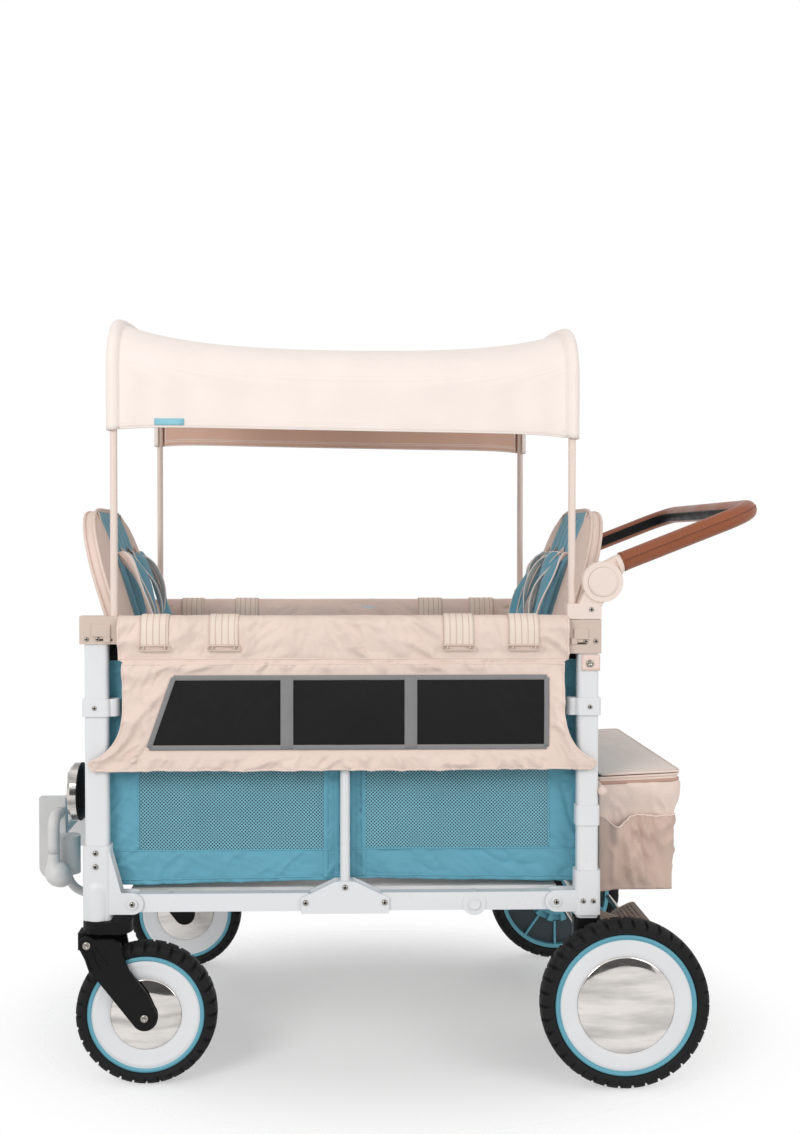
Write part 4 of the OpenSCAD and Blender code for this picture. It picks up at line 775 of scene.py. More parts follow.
canopy_rows = [[canopy_point(x, j / 80, out) for x, out in canopy_columns()] for j in range(81)]
canopy = sheet_piece("canopy_cloth", canopy_rows, ("cream", "lining"), "canopy_front", 1.6)
canopy.modifiers["thick"].material_offset = 1
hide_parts("canopy")
hems = []
for share, side in ((0, -1), (1, 1)):
    for up_by, radius in ((0.6, 1.5), (9.0, 1.1), (12.5, 1.1)):
        along = steps(FRONT_POLE + SEAM_X, REAR_POLE - SEAM_X, 60)
        line = [Vector(canopy_point(x, share, set_in(x))) + Vector((0, 0, up_by)) for x in along]
        hems.append(sweep(line, ring(radius, 6), (0, side, 0)))
for seam_x in (FRONT_POLE + SEAM_X - 1, REAR_POLE - SEAM_X + 1):
    hems.append(sweep([canopy_point(seam_x, k / 90, 4.8) for k in range(91)], ring(1.3, 6), (1, 0, 0)))
canopy_hem = joined("canopy_hem", hems, "cream", "canopy_front")
tag_rows = [[(x, canopy_point(x, 0.01, set_in(x))[1] - 2.0, z) for x in (-335, -322, -309, -296, -283.5)]
            for z in (1165, 1169, 1173, 1176.6)]
canopy_tag = sheet_piece("canopy_tag", tag_rows, "pale_blue", "canopy_front", 0.8)
CANOPY_PIECES = [canopy, canopy_hem, canopy_tag]


# Side flaps with their rolls, pockets and strap loops

FLAP_HEM, FLAP_SEAM, FLAP_TOP = 558, 748, 829.0
LOOPS = ((-358, -309), (-238, -187), (173, 226), (288, 342))
LOOP_BAR_Y, LOOP_BAR_Z = 328.4, 774.5
ROLL = [(318.2, 752), (321.5, 762), (324.2, 778), (325, 796), (323, 812), (316, 823.5), (303, FLAP_TOP),
        (291, 825), (284.2, 813), (282.8, 800), (283.2, 788)]


def flap_reach(z, end):
    """Half length of a flap at a height; end is -1 at the front and 1 at the rear."""
    base = 389 if end < 0 else 386
    ear = 60 if end < 0 else 57
    over = min(1.0, max(0.0, (662 - z) / 88))
    reach = base + ear * (1 - math.sqrt(1 - (over * 0.985) ** 2)) / (1 - math.sqrt(1 - 0.985 ** 2))
    tip = max(0.0, (572 - z) / 10)
    reach -= 6 * (1 - math.sqrt(max(0.0, 1 - min(1.0, tip) ** 2)))
    if z > FLAP_SEAM:
        reach += 7 * ease((z - FLAP_SEAM) / 12)
    return reach


def slanting(x, z, size):
    """Creases of a flap, leaning outwards from its middle, broad ones with finer ones between."""
    front = 0.72 * creases(x, z, size, -0.9) + 0.28 * creases(x, z, size * 0.45, -0.5)
    rear = 0.72 * creases(x, z, size, 0.9) + 0.28 * creases(x, z, size * 0.45, 0.5)
    return mix(front, rear, ease((x + 60) / 110))


def flap_out(x, z):
    """Distance of the flap's outer face from the middle plane: slack below and beside the pockets."""
    belly = 2.4 * math.sin(math.pi * min(1, max(0, (z - 560) / 190)))
    beside = max(POCKET_LOW - z, z - POCKET_TOP, pocket_left(z) - x, x - POCKET_RIGHT)
    folds = mix(1.2, 13.0, ease((beside - 5) / 16)) * slanting(x, z, 34)
    return 316.6 + belly + folds - 2.2 * math.exp(-((z - 749) / 5) ** 2)


def near_loop(x):
    """1 under a strap loop, where the roll is held flat, and 0 away from them."""
    return max(ease((38 - abs(x - (a + b) / 2)) / 12) for a, b in LOOPS)


def flap_lines():
    """Rows of a flap from the hem up, over the rail and down inside."""
    rows = [("flat", FLAP_HEM + (FLAP_SEAM - FLAP_HEM) * k / 76) for k in range(77)]
    return rows + [("roll", p) for p in smooth_path([(0, y, z) for y, z in ROLL], 5)]


def flap_point(kind, value, share):
    if kind == "flat":
        z = value
        x = mix(-flap_reach(z, -1), flap_reach(z, 1), share)
        lift = 3.0 * ease((566 - z) / 8) * 0.4
        return Vector((x, flap_out(x, z) - lift, z + 1.8 * wave(x / 80, 1) * ease((600 - z) / 40)))
    z = value.z
    x = mix(-flap_reach(max(z, 762), -1), flap_reach(max(z, 762), 1), share)
    swell = (1.2 * wave(x / 45, z / 22) + 14.0 * slanting(x + 57, z, 36) - 4.6) * ease((z - 752) / 16)
    swell *= 1 - 0.85 * near_loop(x)
    out = value.y + (swell if value.y > 300 else 0.4 * swell)
    return Vector((x, out, z + (0.8 * wave(x / 70, 2) if z > 815 else 0)))


def loop_points(x, offset):
    """Line over the roll at a place along it, pushed off the cloth."""
    line = []
    curve = smooth_path([(x, y, z) for y, z in ROLL[2:]], 4)
    for i, p in enumerate(curve):
        before, after = curve[max(0, i - 1)], curve[min(len(curve) - 1, i + 1)]
        along = (after - before).normalized()
        away = Vector((0, along.z, -along.y))
        if away.dot(p - Vector((x, 303, 798))) < 0:
            away = -away
        line.append((p + away * offset, away))
    return line


FLAP_PIECES = []
POCKET_LOW, POCKET_TOP = 598.0, 721.0
POCKET_RIGHT = 356.0
POCKET_EDGES = ((None, -113.4), (-91.5, 104.4), (127.2, POCKET_RIGHT))


def pocket_left(z):
    return mix(-344, -301, (z - POCKET_LOW) / (POCKET_TOP - POCKET_LOW))


def on_flap(x, z, off):
    return (x, flap_out(x, z) + off, z)


def flap_strip(line, width, off):
    """Flat tape sewn on the flap along points (x, z)."""
    path = [on_flap(x, z, off) for x, z in line]
    return sweep(path, tape(width, 1.2), (0, 1, 0))


def straight(a, b, steps):
    return [(mix(a[0], b[0], k / steps), mix(a[1], b[1], k / steps)) for k in range(steps + 1)]


for side_name, side in SIDES:
    def seen(points):
        return [(p[0], side * p[1], p[2]) for p in points]

    rows = [seen(flap_point(*line, i / 230) for i in range(231))[::-side] for line in flap_lines()]
    flap = sheet_piece("flap_" + side_name, rows, "beige", "middle", 2.2)
    made = [flap]
    edge = [flap_point("flat", FLAP_HEM + 0.5, k / 180) for k in range(181)]
    heights = [FLAP_HEM + 0.5 + 188 * k / 46 for k in range(47)]
    left, right = ([flap_point("flat", z, share) for z in heights] for share in (0, 1))
    trim = [sweep(seen(left[::-1] + edge[1:-1] + right), ring(2.3, 8), (0, 1, 0.01))]
    for z in (744.5, 754.5):
        row = ("flat", z) if z < FLAP_SEAM else ("roll", Vector((0, 318.8, z)))
        seam = [flap_point(*row, k / 230) for k in range(231)]
        line = [(p.x, p.y + 0.9, z + 1.2 * wave(p.x / 50, 1)) for p in seam]
        trim.append(sweep(seen(line), ring(1.5, 6), (0, 1, 0)))
    for share in (0.0, 1.0):
        cuff = [flap_point("roll", p, share) for p in smooth_path([(0, y, z) for y, z in ROLL], 4)]
        trim.append(sweep(seen(cuff), ring(2.4, 8), (1, 0, 0.05)))
    made.append(joined("flap_piping_" + side_name, trim, "beige", "middle"))

    cloth = []
    for low_edge, high_edge in POCKET_EDGES:
        patch = []
        for j in range(33):
            z = mix(POCKET_LOW, POCKET_TOP, j / 32)
            row = []
            for i in range(65):
                t = i / 64
                x = mix(pocket_left(z) if low_edge is None else low_edge, high_edge, t)
                puff = 2.6 * math.sin(math.pi * t) ** 0.6 * math.sin(math.pi * j / 32) ** 0.6
                crease = 4.4 * creases(x, z, 46, 0.5) * math.sin(math.pi * t) * math.sin(math.pi * j / 32)
                row.append(on_flap(x, z, 2.0 + puff + crease))
            patch.append(row)
        cloth.append((seen([p for row in patch for p in row]), grid_faces(33, 65)))
    points, faces = together(cloth)
    if side > 0:
        faces = [tuple(reversed(f)) for f in faces]
    made.append(piece("flap_pockets_" + side_name, points, faces, "black_cloth", "middle", turn_out=False))

    corners = [(pocket_left(POCKET_LOW), POCKET_LOW), (POCKET_RIGHT, POCKET_LOW), (POCKET_RIGHT, POCKET_TOP),
               (pocket_left(POCKET_TOP), POCKET_TOP)]
    strips = []
    for k, count in enumerate((60, 16, 60, 16)):
        strips.append(flap_strip(straight(corners[k], corners[(k + 1) % 4], count), 9, 3.0))
    for x in (-102.4, 115.8):
        strips.append(flap_strip(straight((x, POCKET_LOW - 3), (x, POCKET_TOP + 3), 16), 22.5, 3.4))
    made.append(joined("flap_binding_" + side_name, [(seen(p), f) for p, f in strips], "grey_tape", "middle"))

    loops, bars = [], []
    for x0, x1 in LOOPS:
        middle = (x0 + x1) / 2
        loops.append((loop_points(middle, 3.4), x1 - x0))
        z, out = LOOP_BAR_Z, LOOP_BAR_Y
        w = (x1 - x0) / 2 + 1
        corners = ((-w, -5), (w, -5), (w + 1.5, 0), (w, 4), (-w, 4), (-w - 1.5, 0))
        bars.append(sweep([(middle + a, out, z + b) for a, b in corners], ring(1.7, 8), (0, 1, 0), True))
        for k in (-0.36, 0.36):
            x = middle + 2 * w * k
            bars.append(sweep([(x, out, z - 5), (x, out, z + 4)], ring(1.5, 8), (0, 1, 0)))
    made.append(joined("loop_bars_" + side_name, [(seen(p), f) for p, f in bars], "beige_plastic", "middle"))
    strap_points, strap_faces, strap_uv = [], [], []
    for line, width in loops:
        rows = [[p + a * (0.5 * (i % 2)) + Vector((width * (i / 8 - 0.5), 0, 0)) for i in range(9)]
                for p, a in line]
        base = len(strap_points)
        strap_points.extend(seen([p for row in rows for p in row]))
        strap_faces.extend(tuple(base + v for v in f) for f in grid_faces(len(rows), 9))
        strap_uv.extend(grid_uv(rows))
    if side > 0:
        strap_faces = [tuple(reversed(f)) for f in strap_faces]
    strap = piece("loop_straps_" + side_name, strap_points, strap_faces, "webbing", "middle", uv=strap_uv,
                  turn_out=False)
    thicken(strap, 1.6)
    made.append(strap)
    FLAP_PIECES.extend(made)
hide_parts("side_flaps")
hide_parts("side_flaps")


# Tub walls

WALL_LOW, WALL_TOP = 345.0, 793.0
WINDOW_LOW, WINDOW_TOP = 407.0, 735.0
END_X, END_TRIM_X = 446.4, 448.0


def side_wall(name, end, side, out, x0, x1, window):
    """Side panel with a mesh window, a placket beside the post and a turned-up lower edge."""
    body = "front_frame" if end < 0 else "rear_frame"
    cols, rows_n = 130, 140
    keys = []

    def sag(x, z):
        return 9.0 * (1 - abs(x) / 420) * ease((370 - z) / 30)

    def face(x, z, off=0.0):
        inside = min(x - window[0], window[1] - x, z - WINDOW_LOW, WINDOW_TOP - z)
        folds = 0.65 * creases(x, z, 30, 0.8 * end) + 0.35 * creases(x, z + 90, 15, 1.2)
        crease = 5.6 * folds * (1 - 0.9 * ease((inside + 6) / 12))
        return (x, side * (out - end * crease + off), z + sag(x, z))

    rows = [[face(x, z) for x in steps(x0, x1, cols)] for z in steps(WALL_LOW, WALL_TOP, rows_n)]
    for j in range(rows_n):
        z = mix(WALL_LOW, WALL_TOP, (j + 0.5) / rows_n)
        for i in range(cols):
            x = mix(x0, x1, (i + 0.5) / cols)
            if z > FLAP_SEAM:
                keys.append(2 if abs(x) > 392 else 3)
            elif window[0] < x < window[1] and WINDOW_LOW < z < WINDOW_TOP:
                keys.append(1)
            else:
                keys.append(0)
    if side * (x1 - x0) > 0:
        rows = [list(reversed(row)) for row in rows]
        keys = [k for j in range(rows_n) for k in reversed(keys[j * cols:(j + 1) * cols])]
    wall = sheet_piece(name, rows, ("blue", "mesh", "black_cloth", "beige"), body, 1.4, which=keys)
    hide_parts("front_side_panels" if end < 0 else "rear_side_panels")
    post_edge = x1 if abs(x1) < abs(x0) else x0
    away = -1 if post_edge < 0 else 1
    trims = []
    for x in (post_edge + away * 8, window[1] + 2 if away < 0 else window[0] - 2):
        line = [face(x, z, 1.0) for z in steps(WALL_LOW + 6, WALL_TOP - 2, 60)]
        trims.append(sweep(line, tape(9, 1.4), (0, side, 0)))
    far = window[0] - 1 if away < 0 else window[1] + 1
    line = [face(far, z, 1.0) for z in steps(WINDOW_LOW, WINDOW_TOP, 40)]
    trims.append(sweep(line, tape(3.5, 1.6), (0, side, 0)))
    for z, width in ((WINDOW_LOW, 3.5), (WALL_LOW + 10, 4.0)):
        line = [face(x, z, 1.1) for x in steps(x0, x1, 90)]
        trims.append(sweep(line, tape(width, 1.6), (0, side, 0)))
    hem = joined(name + "_seams", trims, "blue", body)


for side_name, side in SIDES:
    side_wall("front_wall_" + side_name, -1, side, 279.0, -422.0, -6.0, (-368.0, -36.0))
    side_wall("rear_wall_" + side_name, 1, side, 273.4, 6.0, 419.0, (36.0, 368.0))


def end_wall(name, end, cad_node, body):
    rows = [[(end * (END_X + 1.1 * wave(y / 30, z / 26)), y, z) for y in steps(-281, 281, 60)]
            for z in steps(WALL_LOW + 2, WALL_TOP, 48)]
    if end < 0:
        rows = [list(reversed(row)) for row in rows]
    wall = sheet_piece(name, rows, "blue", body, 1.4)
    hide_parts(cad_node)
    trims = []
    for z, width in ((WALL_LOW + 8, 10), (WALL_TOP - 6, 12), (520, 5)):
        line = [(end * END_TRIM_X, y, z) for y in steps(-278, 278, 40)]
        trims.append(sweep(line, tape(width, 1.4), (end, 0, 0)))
    for y in (-262, 262):
        line = [(end * END_TRIM_X, y, z) for z in steps(WALL_LOW + 4, WALL_TOP - 4, 30)]
        trims.append(sweep(line, tape(6, 1.4), (end, 0, 0)))
    hem = joined(name + "_seams", trims, "blue", body)


end_wall("front_end_cloth", -1, "front_wall", "front_frame")
end_wall("rear_end_cloth", 1, "rear_wall", "rear_frame")


# Seats and backrests

LEAN = math.radians(17.4)
BACK_X, BACK_Z, BACK_LEN, BACK_START, BACK_HALF, BACK_CORNER = 365.0, 655.0, 382.0, 16.0, 240.0, 155.0
BLUE_HALF = 122.0
SEAT_HINGE_X, SEAT_HINGE_Z, SEAT_HALF, LUG_Y = 400.0, 520.0, 250, 256


def back_place(n, y, w, end):
    """From a backrest's own depth, width and length to the wagon; end is -1 front or 1 rear."""
    x = -BACK_X + n * math.cos(LEAN) - w * math.sin(LEAN)
    z = BACK_Z + n * math.sin(LEAN) + w * math.cos(LEAN)
    return (x if end < 0 else -x, y, z)


def back_width(w):
    over = max(0.0, w - (BACK_LEN - BACK_CORNER))
    return BACK_HALF - BACK_CORNER + math.sqrt(max(0.0, BACK_CORNER ** 2 - over ** 2))


def back_swell(u, v):
    return (1 - abs(u) ** 5) * (1 - abs(2 * v - 1) ** 6)


def back_face(y, w, front):
    """Depth of a backrest's face: swollen, with sewn channels between two side bolsters on the front."""
    half = back_width(w)
    v = (w - BACK_START) / (BACK_LEN - BACK_START)
    full = 0.5 + 0.5 * back_swell(y / half, v)
    if not front:
        return -4 - 19 * full
    depth = -4 + 19 * full
    room = half - BLUE_HALF
    if abs(y) > BLUE_HALF and room > 0:
        return depth + 5 * math.sin(math.pi * (abs(y) - BLUE_HALF) / room) * ease(room / 70)
    channel = (y + BLUE_HALF) / BLUE_HALF * 3
    seam = math.exp(-((channel - round(channel)) / 0.09) ** 2)
    return depth - 4.2 * seam * ease((0.98 - v) / 0.06) * ease(v / 0.04)


def shell(front, back):
    """Closed form between two grids of points with the same rows and columns."""
    rows_n, cols = len(front), len(front[0])
    points = [p for row in front for p in row] + [p for row in back for p in row]
    count = rows_n * cols
    faces = grid_faces(rows_n, cols)
    faces += [tuple(count + i for i in reversed(f)) for f in grid_faces(rows_n, cols)]
    rim = list(range(cols)) + [j * cols + cols - 1 for j in range(1, rows_n)]
    rim += [(rows_n - 1) * cols + i for i in range(cols - 2, -1, -1)]
    rim += [j * cols for j in range(rows_n - 2, 0, -1)]
    for k, a in enumerate(rim):
        b = rim[(k + 1) % len(rim)]
        faces.append((a, count + a, count + b, b))
    return points, faces


def backrest(end):
    name = "front" if end < 0 else "rear"
    body = name + "_backrest"
    cols = 120
    lengths = steps(BACK_START, BACK_LEN - BACK_CORNER, 30)
    lengths += [lengths[-1] + BACK_CORNER * math.sin(math.pi / 2 * j / 26) for j in range(1, 27)]
    front, back, keys = [], [], []
    for w in lengths:
        us = [2 * i / cols - 1 for i in range(cols + 1)]
        ys = [u * back_width(w) for u in us]
        front.append([back_place(back_face(y, w, True), y, w, end) for y in ys])
        back.append([back_place(back_face(y, w, False), y, w, end) for y in ys])
    points, faces = shell(front, back)
    for j in range(len(lengths) - 1):
        v = ((lengths[j] + lengths[j + 1]) / 2 - BACK_START) / (BACK_LEN - BACK_START)
        for i in range(cols):
            y = abs(2 * (i + 0.5) / cols - 1) * back_width((lengths[j] + lengths[j + 1]) / 2)
            keys.append(0 if y < BLUE_HALF and v < 0.985 else 1)
    keys += [1] * (len(faces) - len(keys))
    pad = piece(name + "_back_pad", points, faces, ("blue_pad", "beige"), body, which=keys)
    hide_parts(name + "_seat_back")
    rims = []
    for front_face in (True, False):
        def edge(y, w, side_out=0.0, up=0.0):
            depth = back_face(y, w, front_face) * 1.02
            return back_place(depth, y + side_out, w + up, end)

        line = [edge(-back_width(w), w, side_out=-1.0) for w in lengths[::2]]
        line += [edge(back_width(BACK_LEN) * (k / 12 - 1), BACK_LEN, up=1.0) for k in range(1, 24)]
        line += [edge(back_width(w), w, side_out=1.0) for w in reversed(lengths[::2])]
        rims.append(sweep(line, ring(3.0, 8), (1, 0, 0.3)))
    for y in (-BLUE_HALF, BLUE_HALF):
        wide = [w for w in lengths if back_width(w) > BLUE_HALF + 4]
        seam = [back_place(back_face(y, w, True) + 3.0, y, w, end) for w in wide]
        rims.append(sweep(seam, ring(2.0, 8), (1, 0, 0.3)))
    joined(name + "_back_piping", rims, "beige", body)
    lugs = []
    for y in (-LUG_Y, LUG_Y):
        pin = [back_place(0, y + reach, 0, end) for reach in (-6, 6)]
        lugs.append(sweep(pin, ring(9.6, 12), (0, 0, 1)))
        bent = ((-3, 0, 0), (-3, 26, 8), (-4, 40, 24))
        arm = [back_place(n, y - math.copysign(inwards, y), w, end) for n, inwards, w in bent]
        lugs.append(sweep(arm, tape(22, 5), (1, 0, 0)))
    joined(name + "_back_lugs", lugs, "white_plastic", body)
    harness(name, end, body)


SHOULDER = ((292, 38, 1), (288, 39, 10), (262, 40, 23), (215, 39, 31), (160, 35, 30), (110, 26, 24),
            (70, 15, 18), (46, 8, 15))
WAIST = ((26, 96, 3), (30, 56, 8), (40, 14, 14))


def harness(name, end, body):
    """Two five-point harnesses hanging on a backrest: webbing, bound shoulder pads and buckles."""
    straps, pads, edges, clips = [], [], [], []

    def on_back(y, w, off):
        v = (w - BACK_START) / (BACK_LEN - BACK_START)
        depth = -4 + 19 * (0.5 + 0.5 * back_swell(y / back_width(w), v))
        return Vector(back_place(depth + off, y, w, end))

    face = Vector(back_place(1, 0, 0, end)) - Vector(back_place(0, 0, 0, end))
    section = [(20 * math.copysign(abs(c) ** 0.6, c), 4.0 * math.copysign(abs(s) ** 0.8, s))
               for c, s in turn(16)]
    for middle in (-84, 84):
        for way in (-1, 1):
            path = smooth_path([on_back(middle + way * y, w, off) for w, y, off in SHOULDER], 8)
            straps.append(sweep(path, tape(24, 1.6), face))
            line = path[8:44]
            ups = [face + Vector((0, 0.75 * wave(k / 7 + middle, way + end), 0)) for k in range(len(line))]
            pads.append(pad_form(line, section, ups))
            edges.append(pad_edge(line, 20.5, ups))
            waist = smooth_path([on_back(middle + way * y, w, off) for w, y, off in WAIST], 8)
            straps.append(sweep(waist, tape(24, 1.6), face))
        clip = steps(on_back(middle, 62, 17), on_back(middle, 24, 15), 8)
        clips.append(pad_form(clip, [(16 * a, 6 * b) for a, b in ring(1, 14)], tuple(face)))
    joined(name + "_harness_webbing", straps, "pink_tape", body)
    points, faces = together(pads)
    under = [0 if i < 8 else 1 for i in range(16)] * (len(line) - 1) + [0, 0]
    obj = piece(name + "_harness_pads", points, faces, ("blue_pad", "cream"), body, which=under * len(pads))
    joined(name + "_harness_binding", edges, "cream", body)
    joined(name + "_harness_buckles", clips, "beige_plastic", body)


def pad_taper(i, count):
    t = abs(2 * i / (count - 1) - 1)
    return max((1 - t ** 6) ** 0.5 if t < 1 else 0.0, 0.12)


def pad_form(path, section, ups):
    """Section carried along a path, drawn in at both ends."""
    points = []
    count, cols = len(path), len(section)
    for i, (p, side, upward) in enumerate(frames(path, ups, False)):
        full = pad_taper(i, count)
        points.extend(p + side * a * (0.72 + 0.28 * full) * max(full, 0.35) + upward * b * full
                      for a, b in section)
    faces = grid_faces(count, cols, loop_cols=True)
    faces.append(tuple(reversed(range(cols))))
    faces.append(tuple(range((count - 1) * cols, count * cols)))
    return points, faces


def pad_edge(path, half, ups):
    """Binding round the edge of a pad."""
    left, right = [], []
    for i, (p, side, upward) in enumerate(frames(path, ups, False)):
        full = pad_taper(i, len(path))
        reach = half * (0.72 + 0.28 * full) * max(full, 0.35)
        left.append(p - side * reach)
        right.append(p + side * reach)
    return sweep(left + right[::-1], ring(1.7, 6), tuple(Vector(ups[0])), True)


def seat(end):
    name = "front" if end < 0 else "rear"
    body = name + "_pan"
    cols, rows_n = 44, 80
    hinge_x, hinge_z = SEAT_HINGE_X, SEAT_HINGE_Z
    top, base = [], []
    for j in range(rows_n + 1):
        v = 2 * j / rows_n - 1
        top_row, base_row = [], []
        for i in range(cols + 1):
            u = 2 * i / cols - 1
            x = mix(14, 238, i / cols)
            s = (1 - abs(u) ** 6) * (1 - abs(v) ** 8)
            groove = 5 * math.exp(-(v * SEAT_HALF / 9) ** 2) * ease((1 - abs(u)) / 0.1)
            seam = 2.5 * math.exp(-((abs(v) - 0.5) * SEAT_HALF / 6) ** 2) * ease((1 - abs(u)) / 0.1)
            z = -10 * (1 - s) - groove - seam
            pull = 1 - 0.012 * (1 - abs(v)) * (1 if abs(u) > 0.98 else 0)
            top_row.append((end * (hinge_x - x * pull), v * SEAT_HALF, hinge_z + z))
            base_row.append((end * (hinge_x - mix(x, 126, 0.01)), v * (SEAT_HALF - 1.5), hinge_z - 37.6))
        top.append(top_row)
        base.append(base_row)
    points, faces = shell(top, base)
    keys = [0] * (cols * rows_n) + [1] * (len(faces) - cols * rows_n)
    pad = piece(name + "_seat_pad", points, faces, ("blue_pad", "beige"), body, which=keys)
    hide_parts(name + "_seat")
    piece(name + "_seat_piping", *sweep(rim_line(top, 1), ring(2.6, 8), (0, 0, 1), True), "beige", body)
    board = []
    for z, grow in ((471.8, -2), (473, 0), (480.6, 0), (481.8, -2)):
        near, far, half = -9.8 - grow, 235.8 + grow, 258 + grow
        corners = ((near, -half), (far, -half), (far, half), (near, half))
        board += [(end * (hinge_x - x), y, z) for x, y in corners]
    parts = [(board, grid_faces(4, 4, loop_cols=True) + [(3, 2, 1, 0), (12, 13, 14, 15)])]
    for y in (-LUG_Y, LUG_Y):
        hinge = [(end * hinge_x, y + reach, hinge_z) for reach in (-6, 6)]
        parts.append(sweep(hinge, ring(10, 18), (0, 0, 1)))
        arm = [(end * hinge_x, y, z) for z in (hinge_z, 478)]
        parts.append(sweep(arm, [(-10, -6), (10, -6), (10, 6), (-10, 6)], (0, 1, 0)))
    joined(name + "_seat_board", parts, "board", body, smooth=False)


for end in (-1, 1):
    backrest(end)
    seat(end)


# Rear basket

BASKET_X0, BASKET_X1, BASKET_HALF = 469.1, 614.1, 250.0
BAR_X, BAR_Z, POCKET_EDGE = 459.1, 515, 458


def basket_outline():
    """Places round the bag: from the frame on the left, behind, back on the right and along the frame."""
    half, front, back = BASKET_HALF, BASKET_X0 - 6, BASKET_X1
    turns = []
    for cx, cy, r, a0 in ((front + 6, -half + 6, 6, 180), (back - 17, -half + 17, 17, 270),
                          (back - 17, half - 17, 17, 0), (front + 6, half - 6, 6, 90)):
        angles = [math.radians(a0 + 90 * k / 8) for k in range(9)]
        turns.append([(cx + r * math.cos(a), cy + r * math.sin(a)) for a in angles])
    line = []
    for k, count in enumerate((40, 110, 40, 40)):
        p, q = turns[k][-1], turns[(k + 1) % 4][0]
        line += turns[k] + [(mix(p[0], q[0], i / count), mix(p[1], q[1], i / count)) for i in range(1, count)]
    places, run = [], 0.0
    for i, (x, y) in enumerate(line):
        ahead, behind = Vector(line[(i + 1) % len(line)]), Vector(line[i - 1])
        along = (ahead - behind).normalized()
        run += (Vector((x, y)) - behind).length if i else 0.0
        places.append((x, y, along.y, -along.x, run, ease((x - BASKET_X0 - 6) / 24)))
    return places


BAG_LINE = basket_outline()
POCKET_LINE = [p for p in BAG_LINE[3:] if p[0] > BASKET_X0 - 5]


def bag_point(spot, z, push):
    """Point of the bag's wall, pushed out from its plain box; the rim climbs towards the back."""
    x, y, away_x, away_y = spot[:4]
    climb = 7 * (x - BASKET_X0) / (BASKET_X1 - BASKET_X0) * ease((z - 470) / 60)
    return (x + away_x * push, y + away_y * push, z + climb)


def bag_push(spot, z):
    slack = ease((z - 322) / 20) * ease((524 - z) / 16) * spot[5]
    return -1 - 11 * ease((502 - z) / 46) * spot[5] + 6.5 * creases(spot[4], z, 26, 0.4) * slack


def pocket_top(run):
    """Height of the gathered pocket's edge, which gapes here and there."""
    gape = max(0.0, math.sin(run / 34 + 1.1 * math.sin(run / 61) - 0.2)) ** 3
    return POCKET_EDGE - 19 * gape + 1.2 * wave(run / 11, 2)


def pocket_point(spot, t):
    z = mix(321, pocket_top(spot[4]), t)
    full = 0.25 + 0.75 * ease(t / 0.3) - 0.35 * ease((t - 0.8) / 0.2)
    gape = (POCKET_EDGE - pocket_top(spot[4])) * 0.35 * ease((t - 0.6) / 0.4)
    full *= 1 - 0.72 * ease((spot[0] - 586) / 16)
    slack = 1.6 + 11.5 * creases(spot[4] + 40, z, 23, 0.2, 3.6) * full + gape
    return bag_point(spot, z, bag_push(spot, z) + slack * (0.25 + 0.75 * spot[5]))


levels = [319.6, 320.4, 323, 328] + [332 + 4 * k for k in range(48)] + [523, 526, 529]
bag_rows = [[bag_point(spot, z, bag_push(spot, z)) for spot in BAG_LINE] for z in levels]
inset = [(mix(p[0], (BASKET_X0 + BASKET_X1) / 2, 0.08), p[1] * 0.975, 319.2) for p in bag_rows[0]]
bag_rows.insert(0, inset)
cols = len(BAG_LINE)
faces = grid_faces(len(bag_rows), cols, loop_cols=True)
faces.append(tuple(reversed(range(cols))))
bag = piece("basket_bag", [p for row in bag_rows for p in row], faces, "beige", "rear_frame")
thicken(bag, 1.8)
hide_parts("basket")
pocket_rows = [[pocket_point(spot, j / 40) for spot in POCKET_LINE] for j in range(41)]
# the pocket cloth is darker than the bag as painted shade
pocket = sheet_piece("basket_pocket", pocket_rows, "pocket", "rear_frame", 1.2)


def basket_line(z, off, key, section, label):
    """Bead round the bag at a height."""
    line = [bag_point(spot, z, bag_push(spot, z) + off) for spot in BAG_LINE]
    return piece(label, *sweep(line, section, (0, 0, 1), True), key, "rear_frame")


bead = [basket_line(321.5, 1.0, "dark_tape", ring(2.0, 8), "basket_foot"),
        basket_line(527.6, 0.6, "beige", ring(2.4, 8), "basket_rim"),
        basket_line(518, 0.2, "zip", [(0, -3.2), (1.1, -1.2), (1.1, 1.2), (0, 3.2), (-1.0, 0)], "basket_zip")]
elastic = piece("basket_elastic", *sweep(pocket_rows[-1], ring(1.8, 8), (0, 0, 1)), "beige", "rear_frame")
sleeve_line = [(BAR_X + 0.1, y, BAR_Z) for y in steps(-314.0, 314.0, 80)]
sleeve = piece("basket_sleeve", *sweep(sleeve_line, ring(8.5, 20), (0, 0, 1)), "beige", "rear_frame")
loop_parts = []
for y in (-165, 165):
    angles = [math.radians(a) for a in range(50, 311, 13)]
    arc = [(BAR_X + 9.6 * math.cos(a), BAR_Z + 9.6 * math.sin(a)) for a in angles]
    line = [(470.2, BAR_Z + 8)] + arc + [(470.2, BAR_Z - 8)]
    rows = [[(x, y + dy, z) for dy in (-15, -7.5, 0, 7.5, 15)] for x, z in line]
    pts = [p for row in rows for p in row]
    loop_parts.append((pts, grid_faces(len(rows), 5)))
hang = joined("basket_loops", loop_parts, "pink_tape", "rear_frame", turn_out=False)
thicken(hang, 1.8, 1.0)

